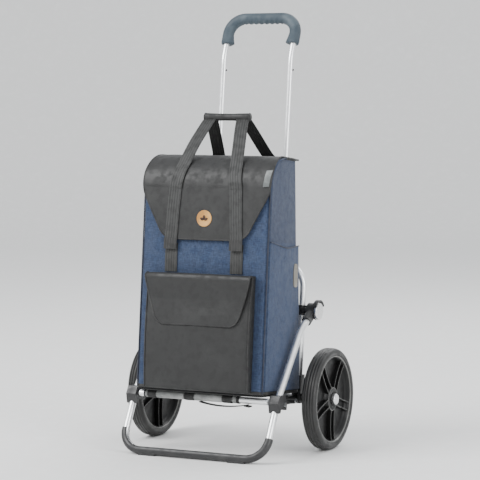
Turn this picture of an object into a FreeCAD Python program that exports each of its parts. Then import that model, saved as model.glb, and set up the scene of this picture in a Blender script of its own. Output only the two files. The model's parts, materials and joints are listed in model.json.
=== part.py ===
"""Shopping trolley on wheels: a parametric FreeCAD document, in millimetres.

+Z is up, +X is the trolley's right, -Y is its front. The origin is on the floor,
under the middle of the trolley's box.
"""
import FreeCAD, Part
import math
import os
import Sketcher
from FreeCAD import Placement, Rotation, Vector

doc = FreeCAD.newDocument("shopping_trolley")
sheet = doc.addObject("Spreadsheet::Sheet", "sizes")

# Driving dimensions: name, value, what it is
SIZES = [
    ("wheel_diameter", 250, "over the tyre"),
    ("wheel_width", 38, "tyre width"),
    ("wheel_track", 478, "between the wheels' middle planes"),
    ("tyre_height", 18, "tyre section, rim seat to tread"),
    ("groove_width", 2.2, "tread groove"),
    ("groove_depth", 1.6, "tread groove"),
    ("groove_pitch", 6.5, "between tread grooves"),
    ("rim_wall", 4, "rim barrel"),
    ("rim_width", 33, "rim barrel"),
    ("web_wall", 3, "closed wheel disc"),
    ("hub_diameter", 58, "hub boss"),
    ("hub_width", 28, "hub boss"),
    ("rib_wall", 4, "spoke rib"),
    ("rib_spacing", 20, "between the two ribs of a pair"),
    ("rib_depth", 22, "both sides of the web"),
    ("rib_pairs", 5, "pairs of ribs"),
    ("bush_diameter", 20, "wheel bush"),
    ("bush_length", 12, "wheel bush"),
    ("axle_diameter", 12, "steel axle"),
    ("axle_cap_diameter", 28, "push-on cap"),
    ("axle_cap_length", 10, "push-on cap"),
    ("spin_clearance", 0.05, "radial, turning fits"),
    ("gap", 0.4, "between bodies that move past each other"),
    ("lean", 6.63, "degrees, frame and handle"),
    ("frame_tube", 18, "lower frame tube, outside"),
    ("frame_bore", 16, "lower frame tube, inside"),
    ("frame_half", 158, "lower tube from the middle"),
    ("frame_start", 16, "tube foot above the axle"),
    ("frame_knee", 293, "first bend above the axle"),
    ("frame_bend", 57, "bend radius"),
    ("guide_top", 572, "top of the frame tubes above the axle"),
    ("handle_half", 93, "handle tube from the middle"),
    ("handle_tube", 15, "handle tube, outside"),
    ("handle_bore", 12.6, "handle tube, inside"),
    ("handle_insert", 60, "handle tube inside the frame tube"),
    ("handle_straight", 845, "straight handle above the axle"),
    ("handle_rise", 107, "from the upper bend to the top bar"),
    ("handle_kick", 23, "degrees, upper handle from upright"),
    ("handle_corner", 42, "bend radius at the top bar"),
    ("grip_diameter", 29, "soft grip"),
    ("grip_leg", 70, "soft grip down each leg"),
    ("button_diameter", 5, "snap button"),
    ("button_drop", 32, "snap button below the upper bend"),
    ("button_proud", 1.6, "snap button out of the tube"),
    ("stand_tube", 17, "stand tube, outside"),
    ("stand_bore", 14.4, "stand tube, inside"),
    ("stand_half", 192, "stand leg from the middle"),
    ("stand_bend", 50, "foot bend radius"),
    ("foot_reach", 269, "foot bar in front of the axle"),
    ("foot_sleeve", 21, "sleeve over the foot bar, outside"),
    ("foot_pad_height", 1.6, "pad below the sleeve"),
    ("foot_pad_length", 44, "pad along the bar"),
    ("foot_pad_place", 120, "pad from the middle"),
    ("platform_reach", 206, "front tube in front of the axle"),
    ("platform_height", 141, "front tube above the floor"),
    ("platform_tube", 16, "front tube, outside"),
    ("platform_bore", 13.4, "front tube, inside"),
    ("rail_inner", 161, "side rail's inner face from the middle"),
    ("rail_wall", 18, "side rail"),
    ("rail_height", 15, "side rail"),
    ("hinge_reach", 62, "platform hinge in front of the axle"),
    ("hinge_height", 124, "platform hinge above the floor"),
    ("pivot_reach", 182, "stand pivot in front of the axle"),
    ("pivot_height", 133, "stand pivot above the floor"),
    ("bolt_diameter", 6, "hinge bolts"),
    ("bolt_head", 11, "hinge bolt heads"),
    ("clamp_wall", 5, "clamp around the stand tube"),
    ("collar_height", 338, "arm joint above the floor"),
    ("collar_reach", 14, "arm joint behind the axle"),
    ("cap_diameter", 44, "silver cap of the arm joint"),
    ("cap_wall", 6, "silver cap"),
    ("bag_lean", 5.36, "degrees"),
    ("bag_back", 21, "back of the bag in front of the axle"),
    ("bag_base", 138.5, "back of the bag's base above the floor"),
    ("bag_half", 173.5, "half width at the base"),
    ("bag_half_top", 143, "half width of the back at the top"),
    ("bag_front_half", 170, "half width of the front"),
    ("bag_depth", 212, "back to front"),
    ("bag_tall", 571, "wall height"),
    ("bag_wall", 3, "padded fabric"),
    ("base_board", 4.5, "stiff base panel"),
    ("base_half", 164, "half width of the base panel"),
    ("base_waist", 144.5, "half width of its back, between the axle brackets"),
    ("base_waist_long", 100, "length of that narrower back"),
    ("flap_wall", 3, "flap fabric"),
    ("flap_round", 80, "rounded front edge"),
    ("flap_low", 366, "lowest edge of the flap above the base"),
    ("flap_low_half", 110, "half width of that edge"),
    ("flap_half", 173, "half width of the flap"),
    ("flap_flare", 482, "where the flap has its full width"),
    ("pocket_half", 140, "front pocket"),
    ("pocket_tall", 280, "front pocket"),
    ("pocket_deep", 30, "front pocket"),
    ("pocket_flap_low", 160, "lowest edge of the pocket flap"),
    ("pocket_flap_half", 107, "half width of that edge"),
    ("strap_width", 33, "webbing"),
    ("strap_wall", 2, "webbing"),
    ("strap_place", 86, "front strap from the middle"),
    ("strap_bend_place", 81, "strap where the cover bends"),
    ("strap_top_place", 71, "strap at the top of the bag"),
    ("carry_rise", 98.8, "carry grip above the bag's mouth"),
    ("carry_ahead", 114.1, "carry grip in front of the bag's back"),
    ("carry_half", 61, "half length of the carry grip"),
    ("carry_diameter", 21, "carry grip"),
    ("badge_diameter", 40, "round badge"),
    ("badge_up", 417, "badge above the base"),
]
for row, (name, value, note) in enumerate(SIZES, 1):
    sheet.set(f"A{row}", name)
    sheet.set(f"B{row}", str(value))
    sheet.set(f"C{row}", note)
    sheet.setAlias(f"B{row}", name)
doc.recompute()
V = {name: float(sheet.get(name)) for name, value, note in SIZES}

# Places worked out from the sizes
LEAN = math.radians(V["lean"])
KICK = math.radians(V["handle_kick"])
AXLE_Z = V["wheel_diameter"] / 2
TOP_BAR_BACK = (V["handle_straight"] * math.sin(LEAN) + V["handle_rise"] * math.sin(KICK)
                + V["grip_diameter"] / 2)
AXLE_Y = (V["foot_reach"] + V["foot_sleeve"] / 2 - TOP_BAR_BACK) / 2
FOOT_Z = V["foot_sleeve"] / 2 + V["foot_pad_height"]
RAIL_OUTER = V["rail_inner"] + V["rail_wall"]
parts = []


def keep(thing, name):
    """Label a finished sub-part, which names its file."""
    thing.Label = name
    parts.append(thing)
    return thing


def on_frame(x, along):
    """A point of the leaning frame plane, measured along it from the axle."""
    return Vector(x, AXLE_Y + along * math.sin(LEAN), AXLE_Z + along * math.cos(LEAN))


def bag_placement():
    """The bag's own frame: x across, y to the back, z up along its leaning back."""
    return Placement(Vector(0, AXLE_Y - V["bag_back"], V["bag_base"]),
                     Rotation(Vector(1, 0, 0), -V["bag_lean"]))


def solid_part(name, shape, placement=None):
    thing = doc.addObject("Part::Feature", name)
    thing.Shape = shape
    if placement:
        thing.Placement = placement
    return keep(thing, name)


def mirrored(source, name):
    """The left piece of a pair."""
    thing = doc.addObject("Part::Mirroring", name)
    thing.Source = source
    thing.Base = Vector(0, 0, 0)
    thing.Normal = Vector(1, 0, 0)
    return keep(thing, name)


def pair(make, name):
    right = make(name + "_right")
    mirrored(right, name + "_left")
    return right


# ---- PartDesign helpers ------------------------------------------------------
def plane_of(body, role):
    return next(f for f in body.Origin.OriginFeatures if f.Role == role)


def outline(body, role, points, name):
    """A closed sketch whose every corner is tied to the sheet by two expressions."""
    sketch = body.newObject("Sketcher::SketchObject", name)
    sketch.AttachmentSupport = [(plane_of(body, role), "")]
    sketch.MapMode = "FlatFace"
    add_polygon(sketch, points)
    return sketch


def add_polygon(sketch, points):
    first = sketch.GeometryCount
    spots = [Vector(evaluate(sketch, a), evaluate(sketch, b), 0) for a, b in points]
    for i, spot in enumerate(spots):
        after = spots[(i + 1) % len(spots)]
        sketch.addGeometry(Part.LineSegment(spot, after), False)
    for i, (a, b) in enumerate(points):
        line = first + i
        before = first + (i - 1) % len(points)
        sketch.addConstraint(Sketcher.Constraint("Coincident", before, 2, line, 1))
        for kind, text, value in (("DistanceX", a, spots[i].x), ("DistanceY", b, spots[i].y)):
            number = sketch.addConstraint(Sketcher.Constraint(kind, -1, 1, line, 1, value))
            sketch.setExpression(f"Constraints[{number}]", text)


def evaluate(thing, text):
    return float(thing.evalExpression(text))


def pad(body, sketch, length, name, midplane=False):
    feature = body.newObject("PartDesign::Pad", name)
    feature.Profile = sketch
    feature.setExpression("Length", length)
    feature.SideType = "Symmetric" if midplane else "One side"
    sketch.Visibility = False
    return feature


def revolve(body, sketch, name, kind="PartDesign::Revolution"):
    feature = body.newObject(kind, name)
    feature.Profile = sketch
    feature.ReferenceAxis = (sketch, ["H_Axis"])
    feature.Angle = 360
    return feature


# ---- Plain solids ------------------------------------------------------------
def rod(start, end, diameter):
    way = end - start
    return Part.makeCylinder(diameter / 2, way.Length, start, way)


def bent_path(points, radius):
    """Straight runs joined by tangent arcs."""
    radii = radius if isinstance(radius, list) else [radius] * (len(points) - 2)
    edges = []
    last = points[0]
    for before, corner, after, r in zip(points, points[1:], points[2:], radii):
        into = (corner - before).normalize()
        out = (after - corner).normalize()
        turn = into.getAngle(out)
        reach = r * math.tan(turn / 2)
        start = corner - into * reach
        end = corner + out * reach
        middle = corner + (out - into).normalize() * (r / math.cos(turn / 2) - r)
        edges.append(Part.LineSegment(last, start).toShape())
        edges.append(Part.Arc(start, middle, end).toShape())
        last = end
    edges.append(Part.LineSegment(last, points[-1]).toShape())
    return Part.Wire(edges)


def swept(path, diameter):
    edge = path.OrderedEdges[0]
    start = edge.valueAt(edge.FirstParameter)
    way = edge.tangentAt(edge.FirstParameter)
    ring = Part.Wire(Part.makeCircle(diameter / 2, start, way))
    return Part.Wire(path.OrderedEdges).makePipeShell([ring], True, False)


def tube(path, outside, inside):
    return swept(path, outside).cut(swept(path, inside))


def plate(points, thickness, way):
    face = Part.Face(Part.makePolygon(points + points[:1]))
    return face.extrude(way * thickness)


def across(points, left, right):
    """A prism along X: points are (y, z) pairs."""
    return plate([Vector(left, y, z) for y, z in points], right - left, Vector(1, 0, 0))


# ---- Wheels ------------------------------------------------------------------
def wheel_place():
    return Placement(Vector(V["wheel_track"] / 2, AXLE_Y, AXLE_Z), Rotation())


def make_tyre(name):
    body = doc.addObject("PartDesign::Body", name)
    seat = "sizes.wheel_diameter/2 - sizes.tyre_height"
    half = "sizes.wheel_width/2"
    tread = "sizes.wheel_diameter/2"
    section = outline(body, "XZ_Plane", [
        (f"-{half}", seat), (half, seat), (half, f"{tread} - 9"),
        (f"{half} - 3", f"{tread} - 3.5"), (f"{half} - 9", tread),
        (f"-{half} + 9", tread), (f"-{half} + 3", f"{tread} - 3.5"),
        (f"-{half}", f"{tread} - 9")], name + "_section")
    revolve(body, section, name + "_ring")
    groove = body.newObject("Sketcher::SketchObject", name + "_grooves")
    groove.AttachmentSupport = [(plane_of(body, "XZ_Plane"), "")]
    groove.MapMode = "FlatFace"
    for n in (-1, 0, 1):
        low = f"{n}*sizes.groove_pitch - sizes.groove_width/2"
        high = f"{n}*sizes.groove_pitch + sizes.groove_width/2"
        deep = f"{tread} - sizes.groove_depth"
        add_polygon(groove, [(low, deep), (high, deep), (high, f"{tread} + 1"),
                             (low, f"{tread} + 1")])
    revolve(body, groove, name + "_cut", "PartDesign::Groove")
    body.Placement = wheel_place()
    return keep(body, name)


def make_rim(name):
    body = doc.addObject("PartDesign::Body", name)
    seat = "sizes.wheel_diameter/2 - sizes.tyre_height"
    inner = f"{seat} - sizes.rim_wall"
    half = "sizes.rim_width/2"
    web = "sizes.web_wall/2"
    hub = "sizes.hub_width/2"
    bore = "sizes.bush_diameter/2"
    section = outline(body, "XZ_Plane", [
        (f"-{half}", seat), (half, seat), (half, inner), (web, f"{inner} - 3"),
        (web, "sizes.hub_diameter/2"), (hub, "sizes.hub_diameter/2 - 2"), (hub, bore),
        (f"-{hub}", bore), (f"-{hub}", "sizes.hub_diameter/2 - 2"),
        (f"-{web}", "sizes.hub_diameter/2"), (f"-{web}", f"{inner} - 3"),
        (f"-{half}", inner)], name + "_section")
    revolve(body, section, name + "_disc")
    ribs = body.newObject("Sketcher::SketchObject", name + "_rib_pair")
    ribs.AttachmentSupport = [(plane_of(body, "YZ_Plane"), "")]
    ribs.MapMode = "FlatFace"
    for side in ("-", ""):
        near = f"{side}(sizes.rib_spacing/2 - sizes.rib_wall/2)"
        far = f"{side}(sizes.rib_spacing/2 + sizes.rib_wall/2)"
        add_polygon(ribs, [(near, "sizes.hub_diameter/2 - 6"), (far, "sizes.hub_diameter/2 - 6"),
                           (far, f"{inner} + 1"), (near, f"{inner} + 1")])
    first = pad(body, ribs, "sizes.rib_depth", name + "_ribs", midplane=True)
    turns = body.newObject("PartDesign::PolarPattern", name + "_all_ribs")
    turns.Originals = [first]
    turns.Axis = (ribs, ["H_Axis"])
    turns.Axis = (plane_of(body, "X_Axis"), [""])
    turns.Angle = 360
    turns.setExpression("Occurrences", "sizes.rib_pairs")
    body.Tip = turns
    body.Placement = wheel_place()
    return keep(body, name)


def make_bushes(name):
    """Two nylon bushes, one in each end of the hub."""
    sleeves = []
    for n, end in enumerate((-1, 1)):
        outer = doc.addObject("Part::Cylinder", f"{name}_outer_{n}")
        outer.setExpression("Radius", "sizes.bush_diameter/2")
        bore = doc.addObject("Part::Cylinder", f"{name}_bore_{n}")
        bore.setExpression("Radius", "sizes.axle_diameter/2 + sizes.spin_clearance")
        start = V["wheel_track"] / 2 + end * (V["hub_width"] - V["bush_length"]) / 2
        start -= V["bush_length"] / 2
        for piece in (outer, bore):
            piece.setExpression("Height", "sizes.bush_length")
            piece.Placement = Placement(Vector(start, AXLE_Y, AXLE_Z),
                                        Rotation(Vector(0, 1, 0), 90))
        cut = doc.addObject("Part::Cut", f"{name}_cut_{n}")
        cut.Base = outer
        cut.Tool = bore
        sleeves.append(cut)
    both = doc.addObject("Part::Compound", name)
    both.Links = sleeves
    return keep(both, name)


def make_axle_cap(name):
    hub_face = V["wheel_track"] / 2 + V["hub_width"] / 2 + V["gap"]
    outer = doc.addObject("Part::Cylinder", name + "_outer")
    outer.setExpression("Radius", "sizes.axle_cap_diameter/2")
    outer.setExpression("Height", "sizes.axle_cap_length")
    outer.Placement = Placement(Vector(hub_face, AXLE_Y, AXLE_Z), Rotation(Vector(0, 1, 0), 90))
    doc.recompute()
    edge = max(range(len(outer.Shape.Edges)), key=lambda i: outer.Shape.Edges[i].CenterOfMass.x)
    dome = doc.addObject("Part::Fillet", name)
    dome.Base = outer
    dome.Edges = [(edge + 1, 4, 4)]
    return keep(dome, name)


pair(make_tyre, "tyre")
pair(make_rim, "rim")
pair(make_bushes, "wheel_bushes")
pair(make_axle_cap, "axle_cap")

axle = doc.addObject("Part::Cylinder", "axle")
axle.setExpression("Radius", "sizes.axle_diameter/2")
axle.setExpression("Height", "sizes.wheel_track + sizes.hub_width + 2*sizes.gap")
axle.Placement = Placement(
    Vector(-(V["wheel_track"] + V["hub_width"]) / 2 - V["gap"], AXLE_Y, AXLE_Z),
    Rotation(Vector(0, 1, 0), 90))
keep(axle, "axle")

# ---- Leaning frame -----------------------------------------------------------
frame_path = bent_path(
    [on_frame(V["frame_half"], V["frame_start"]), on_frame(V["frame_half"], V["frame_knee"]),
     on_frame(V["handle_half"], V["frame_knee"] + V["frame_half"] - V["handle_half"]),
     on_frame(V["handle_half"], V["guide_top"])], V["frame_bend"])
frame_outer = swept(frame_path, V["frame_tube"])
frame_right = solid_part("frame_tube_right", frame_outer.cut(swept(frame_path, V["frame_bore"])))
mirrored(frame_right, "frame_tube_left")

both_frames = frame_outer.fuse(frame_outer.mirror(Vector(0, 0, 0), Vector(1, 0, 0)))
low_bar = rod(on_frame(-V["frame_half"], 75), on_frame(V["frame_half"], 75), 14)
solid_part("lower_crossbar", low_bar.cut(both_frames))
high_bar = rod(on_frame(-V["handle_half"], 440), on_frame(V["handle_half"], 440), 12)
solid_part("upper_crossbar", high_bar.cut(both_frames))


def make_bracket(name):
    """Moulded foot of the frame: it holds the tube, the axle and the platform's hinge."""
    body = doc.addObject("PartDesign::Body", name + "_body")
    wall = "(sizes.frame_tube/2 + 3)"
    reach = "sizes.hinge_reach"
    drop = "(sizes.wheel_diameter/2 - sizes.hinge_height)"
    sketch = outline(body, "YZ_Plane", [
        (f"-{reach} - 9", f"-{drop} - 9"), (wall, "-15"), (wall, "10"),
        (f"{wall} + 5", "54"), (f"-{wall} + 5", "54"), (f"-{wall}", "8"),
        (f"-{reach} - 9", f"-{drop} + 8")], name + "_outline")
    feature = pad(body, sketch, "sizes.rail_inner - sizes.gap - 146", name + "_block")
    side = outline(body, "YZ_Plane", [
        (f"-{wall}", "-15"), (wall, "-15"), (wall, "10"), (f"{wall} + 5", "54"),
        (f"-{wall} + 5", "54"), (f"-{wall}", "8")], name + "_side_outline")
    pad(body, side, "sizes.frame_half + sizes.frame_tube/2 + 2 - 146", name + "_side")
    feature.Refine = True
    body.Placement = Placement(Vector(146, AXLE_Y, AXLE_Z), Rotation())
    doc.recompute()
    holes = frame_outer.fuse(rod(Vector(100, AXLE_Y, AXLE_Z), Vector(200, AXLE_Y, AXLE_Z),
                                 V["axle_diameter"]))
    hinge = Vector(100, AXLE_Y - V["hinge_reach"], V["hinge_height"])
    holes = holes.fuse(rod(hinge, hinge + Vector(100, 0, 0), V["bolt_diameter"]))
    tool = doc.addObject("Part::Feature", name + "_holes")
    tool.Shape = holes
    cut = doc.addObject("Part::Cut", name)
    cut.Base = body
    cut.Tool = tool
    return keep(cut, name)


pair(make_bracket, "axle_bracket")


def make_spacer(name):
    start = V["frame_half"] + V["frame_tube"] / 2 + 2
    length = V["wheel_track"] / 2 - V["hub_width"] / 2 - V["gap"] - start
    sleeve = Part.makeCylinder(V["axle_diameter"] / 2 + 3, length)
    sleeve = sleeve.cut(Part.makeCylinder(V["axle_diameter"] / 2, length))
    return solid_part(name, sleeve, Placement(Vector(start, AXLE_Y, AXLE_Z),
                                              Rotation(Vector(0, 1, 0), 90)))


pair(make_spacer, "axle_spacer")


def make_guide_collar(name):
    """Plastic collar on the frame tube, in which the handle tube slides."""
    low = on_frame(V["handle_half"], V["guide_top"] - 26)
    top = on_frame(V["handle_half"], V["guide_top"] + 6)
    bore = V["handle_tube"] + 2 * V["spin_clearance"]
    shape = rod(low, top, V["frame_tube"] + 6).cut(frame_outer)
    return solid_part(name, shape.cut(rod(low, top + (top - low), bore)))


pair(make_guide_collar, "guide_collar")


def make_bag_clip(name):
    """Clip round the frame tube that the bag hangs on."""
    middle = on_frame(V["handle_half"], 500)
    up = on_frame(0, 1) - on_frame(0, 0)
    ring = rod(middle - up * 9, middle + up * 9, V["frame_tube"] + 7)
    return solid_part(name, ring.cut(frame_outer))


pair(make_bag_clip, "bag_clip")


def make_arm_collar(name):
    """Collar on the frame tube with the neck that the arm joint closes on."""
    along = (V["collar_height"] - AXLE_Z) / math.cos(LEAN)
    up = on_frame(0, 1) - on_frame(0, 0)
    middle = on_frame(V["frame_half"], along)
    ring = rod(middle - up * 12, middle + up * 12, V["frame_tube"] + 8)
    seat = Vector(RAIL_OUTER + 2, AXLE_Y + V["collar_reach"] + 4, V["collar_height"])
    neck = rod(Vector(V["frame_half"], seat.y, seat.z), seat - Vector(V["gap"], 0, 0), 18)
    return solid_part(name, ring.fuse(neck).cut(frame_outer).removeSplitter())


pair(make_arm_collar, "arm_collar")

# ---- Handle ------------------------------------------------------------------
bend = on_frame(V["handle_half"], V["handle_straight"])
top_bar = bend + Vector(0, V["handle_rise"] * math.sin(KICK), V["handle_rise"] * math.cos(KICK))
foot = on_frame(V["handle_half"], V["guide_top"] - V["handle_insert"])


def flip(point):
    return Vector(-point.x, point.y, point.z)


corner = V["handle_corner"]
handle_path = bent_path([foot, bend, top_bar, flip(top_bar), flip(bend), flip(foot)],
                        [120, corner, corner, 120])
handle_outer = swept(handle_path, V["handle_tube"])
snap_z = V["handle_straight"] - V["button_drop"]
holes = [rod(on_frame(side * V["handle_half"], snap_z),
             on_frame(side * V["handle_half"] + 12, snap_z),
             V["button_diameter"] + 2 * V["spin_clearance"]) for side in (1, -1)]
handle_shape = handle_outer.cut(swept(handle_path, V["handle_bore"]))
for hole in holes:
    handle_shape = handle_shape.cut(hole)
solid_part("handle_tube", handle_shape)

leg_way = (top_bar - bend).normalize()
grip_low = top_bar - leg_way * V["grip_leg"]
grip_path = bent_path([grip_low, top_bar, flip(top_bar), flip(grip_low)], corner)
solid_part("soft_grip", swept(grip_path, V["grip_diameter"]).cut(swept(grip_path, V["handle_tube"])))

plugs = []
for side, word in ((1, "right"), (-1, "left")):
    middle = on_frame(side * V["handle_half"], snap_z)
    tip = middle + Vector(V["handle_tube"] / 2 + V["button_proud"], 0, 0)
    root = middle + Vector(0.5, 0, 0)
    solid_part(f"snap_button_{word}", rod(root, tip, V["button_diameter"]))
    low = on_frame(side * V["handle_half"], V["guide_top"] - V["handle_insert"] - 10)
    high = on_frame(side * V["handle_half"], V["guide_top"] - V["handle_insert"])
    plugs.append(rod(low, high, V["frame_bore"] - 2 * V["spin_clearance"]))
solid_part("handle_plugs", Part.makeCompound(plugs))

# ---- Stand: foot bar, legs and arms in one bent tube ---------------------------
side_x = V["stand_half"]
pivot = Vector(side_x, AXLE_Y - V["pivot_reach"], V["pivot_height"])
STAND = [Vector(0, AXLE_Y - V["foot_reach"], FOOT_Z),
         Vector(side_x, AXLE_Y - V["foot_reach"], FOOT_Z),
         Vector(side_x, AXLE_Y - 198, 139),
         Vector(side_x, AXLE_Y - 62, 296),
         Vector(side_x, AXLE_Y - 6, 328)]
stand_points = [flip(p) for p in reversed(STAND[1:])] + STAND[1:]
stand_radii = [80, 150, V["stand_bend"], V["stand_bend"], 150, 80]
stand_path = bent_path(stand_points, stand_radii)
stand_outer = swept(stand_path, V["stand_tube"])
solid_part("stand_tube", stand_outer.cut(swept(stand_path, V["stand_bore"])))

leg_up = (STAND[2] - STAND[1]).normalize()
sleeve_top = STAND[1] + leg_up * 52
sleeve_path = bent_path([flip(sleeve_top), flip(STAND[1]), STAND[1], sleeve_top], V["stand_bend"])
inward = 6.0
open_top = sleeve_top - Vector(inward, 0, 0) + leg_up * 20
open_corner = STAND[1] - Vector(inward, 0, 0) + leg_up * inward
open_path = bent_path([flip(open_top), flip(open_corner), open_corner, open_top],
                      V["stand_bend"] - inward)
sleeve = swept(sleeve_path, V["foot_sleeve"]).cut(swept(open_path, V["stand_tube"]))
solid_part("foot_sleeve", sleeve.cut(stand_outer))


pads = []
for side in (1, -1):
    pad_x = side * V["foot_pad_place"] - V["foot_pad_length"] / 2
    block = Part.makeBox(V["foot_pad_length"], 17, FOOT_Z - 4,
                         Vector(pad_x, AXLE_Y - V["foot_reach"] - 8.5, 0))
    pads.append(block.cut(swept(sleeve_path, V["foot_sleeve"])))
solid_part("foot_pads", Part.makeCompound(pads))


def make_stand_clamp(name):
    """Clamp on the stand tube: it carries the pivot beside the platform's rail."""
    inner = RAIL_OUTER + V["gap"]
    outer = side_x + V["stand_tube"] / 2 + V["clamp_wall"]
    y = AXLE_Y - 198
    block = across([(y - 19, 116), (y - 8, 116), (y - 4, 126), (y + 8, 132), (y + 16, 120),
                    (y + 27, 119), (y + 30, 140), (y + 20, 156), (y - 12, 157), (y - 23, 140)],
                   inner, outer)
    bolt = rod(Vector(inner - 1, pivot.y, pivot.z), Vector(outer + 1, pivot.y, pivot.z),
               V["bolt_diameter"])
    return solid_part(name, block.cut(stand_outer).cut(bolt))


pair(make_stand_clamp, "stand_clamp")

joint = Vector(RAIL_OUTER + 2, AXLE_Y + V["collar_reach"], V["collar_height"])


def make_arm_socket(name):
    """Moulding on the arm's upper end, face to face with the frame's collar."""
    disc = rod(joint, joint + Vector(20, 0, 0), V["cap_diameter"] - 4)
    way = (STAND[4] - STAND[3]).normalize()
    sleeve_of_arm = rod(STAND[4] - way * 24, STAND[4] + way * 12, V["stand_tube"] + 8)
    room = Part.makeBox(20, 200, 200, Vector(joint.x, joint.y - 100, joint.z - 100))
    block = disc.fuse(sleeve_of_arm).common(room).removeSplitter()
    pin = rod(joint + Vector(8, 0, 0), joint + Vector(40, 0, 0), 10)
    return solid_part(name, block.cut(stand_outer).cut(pin))


pair(make_arm_socket, "arm_socket")


def make_cap(name):
    """Silver cap with the stud that the lever turns on."""
    start = joint + Vector(20 + 3 + 2 * V["gap"], 0, 0)
    disc = rod(start, start + Vector(V["cap_wall"], 0, 0), V["cap_diameter"])
    rim = max(range(len(disc.Edges)), key=lambda i: disc.Edges[i].CenterOfMass.x)
    disc = disc.makeFillet(2.5, [disc.Edges[rim]])
    stud = rod(joint + Vector(8, 0, 0), start, 10)
    return solid_part(name, disc.fuse(stud).removeSplitter())


pair(make_cap, "arm_cap")


def make_lever(name):
    """Hook lever: a ring behind the cap, and a finger hooked over the cap's top."""
    start = joint + Vector(20 + V["gap"], 0, 0)
    ring = rod(start, start + Vector(3, 0, 0), V["cap_diameter"])
    inner = V["cap_diameter"] / 2 + V["gap"] + 0.6
    band = rod(start, start + Vector(10, 0, 0), 2 * inner + 10)
    band = band.cut(rod(start + Vector(3, 0, 0), start + Vector(11, 0, 0), 2 * inner))
    wedge = [Vector(start.x - 1, joint.y + 60 * math.cos(math.radians(a)),
                    joint.z + 60 * math.sin(math.radians(a))) for a in (25, 75, 115, 150)]
    sector = plate([Vector(start.x - 1, joint.y, joint.z)] + wedge, 14, Vector(1, 0, 0))
    shape = ring.fuse(band.common(sector)).removeSplitter()
    return solid_part(name, shape.cut(rod(start - Vector(5, 0, 0), start + Vector(10, 0, 0),
                                          10 + 2 * V["spin_clearance"])))


pair(make_lever, "hook_lever")

# ---- Platform ----------------------------------------------------------------
front_y = AXLE_Y - V["platform_reach"]
front_bar = rod(Vector(-V["rail_inner"] - 12, front_y, V["platform_height"]),
                Vector(V["rail_inner"] + 12, front_y, V["platform_height"]),
                V["platform_tube"])
front_hole = rod(Vector(-V["rail_inner"] - 12, front_y, V["platform_height"]),
                 Vector(V["rail_inner"] + 12, front_y, V["platform_height"]),
                 V["platform_bore"])
solid_part("platform_front_tube", front_bar.cut(front_hole))
rear_bar = rod(Vector(-V["rail_inner"] - 8, AXLE_Y - 98, 127),
               Vector(V["rail_inner"] + 8, AXLE_Y - 98, 127), 8)
solid_part("platform_rear_bar", rear_bar)


def make_rail(name):
    """Side rail from the hinge at the axle brackets to the front tube."""
    body = doc.addObject("PartDesign::Body", name + "_body")
    low = "(sizes.hinge_height - sizes.rail_height/2)"
    front = "sizes.platform_reach"
    mid = "sizes.platform_height"
    sketch = outline(body, "YZ_Plane", [
        ("-sizes.hinge_reach + 9", f"{low} - 2"), ("-sizes.hinge_reach + 9", f"{low} + 15"),
        (f"-{front} + 8", f"{mid} + 10"), (f"-{front} - 8", f"{mid} + 10"),
        (f"-{front} - 12", mid), (f"-{front} - 6", f"{mid} - 12"),
        ("-sizes.pivot_reach", "sizes.pivot_height - 10"), ("-sizes.hinge_reach - 20", f"{low} + 1"),
        ("-sizes.hinge_reach", f"{low} - 4")], name + "_outline")
    pad(body, sketch, "sizes.rail_wall", name + "_block")
    body.Placement = Placement(Vector(V["rail_inner"], AXLE_Y, 0), Rotation())
    tools = front_bar.fuse(rear_bar)
    for reach, height in (("hinge_reach", "hinge_height"), ("pivot_reach", "pivot_height")):
        spot = Vector(V["rail_inner"] - 5, AXLE_Y - V[reach], V[height])
        turning = V["bolt_diameter"] + 2 * V["spin_clearance"]
        tools = tools.fuse(rod(spot, spot + Vector(V["rail_wall"] + 10, 0, 0), turning))
    tool = doc.addObject("Part::Feature", name + "_holes")
    tool.Shape = tools
    cut = doc.addObject("Part::Cut", name)
    cut.Base = body
    cut.Tool = tool
    return keep(cut, name)


pair(make_rail, "platform_rail")


def make_bolts(name, reach, height, start, end):
    """A bolt with a round head on each side of the trolley."""
    bolts = []
    for side in (1, -1):
        spot = Vector(0, AXLE_Y - V[reach], V[height])
        shank = rod(spot + Vector(side * start, 0, 0), spot + Vector(side * end, 0, 0),
                    V["bolt_diameter"])
        head = rod(spot + Vector(side * end, 0, 0), spot + Vector(side * (end + 3.5), 0, 0),
                   V["bolt_head"])
        bolts.append(shank.fuse(head).removeSplitter())
    return solid_part(name, Part.makeCompound(bolts))


make_bolts("platform_hinge_bolts", "hinge_reach", "hinge_height", 146, RAIL_OUTER + V["gap"])
make_bolts("stand_pivot_bolts", "pivot_reach", "pivot_height", V["rail_inner"],
           side_x + V["stand_tube"] / 2 + V["clamp_wall"])

# ---- Soft goods: plain closed solids -------------------------------------------
soft = bag_placement()


def bag_ring(up, inset, floor_half, top_half, depth):
    """One level of the bag: a four-sided outline with cut corners."""
    share = up / V["bag_tall"]
    back = floor_half + (top_half - floor_half) * share - inset
    front = V["bag_front_half"] - inset
    cut = 14
    points = [(-back + cut, -inset), (back - cut, -inset), (back, -inset - cut),
              (front, -depth + inset + cut), (front - cut, -depth + inset),
              (-front + cut, -depth + inset), (-front, -depth + inset + cut),
              (-back, -inset - cut)]
    corners = [Vector(x, y, up) for x, y in points]
    return Part.makePolygon(corners + corners[:1])


def bag_loft(inset, low):
    levels = [low, V["bag_tall"] + (1 if inset else 0)]
    rings = [bag_ring(up, inset, V["bag_half"], V["bag_half_top"], V["bag_depth"])
             for up in levels]
    return Part.makeLoft(rings, True, True)



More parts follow.
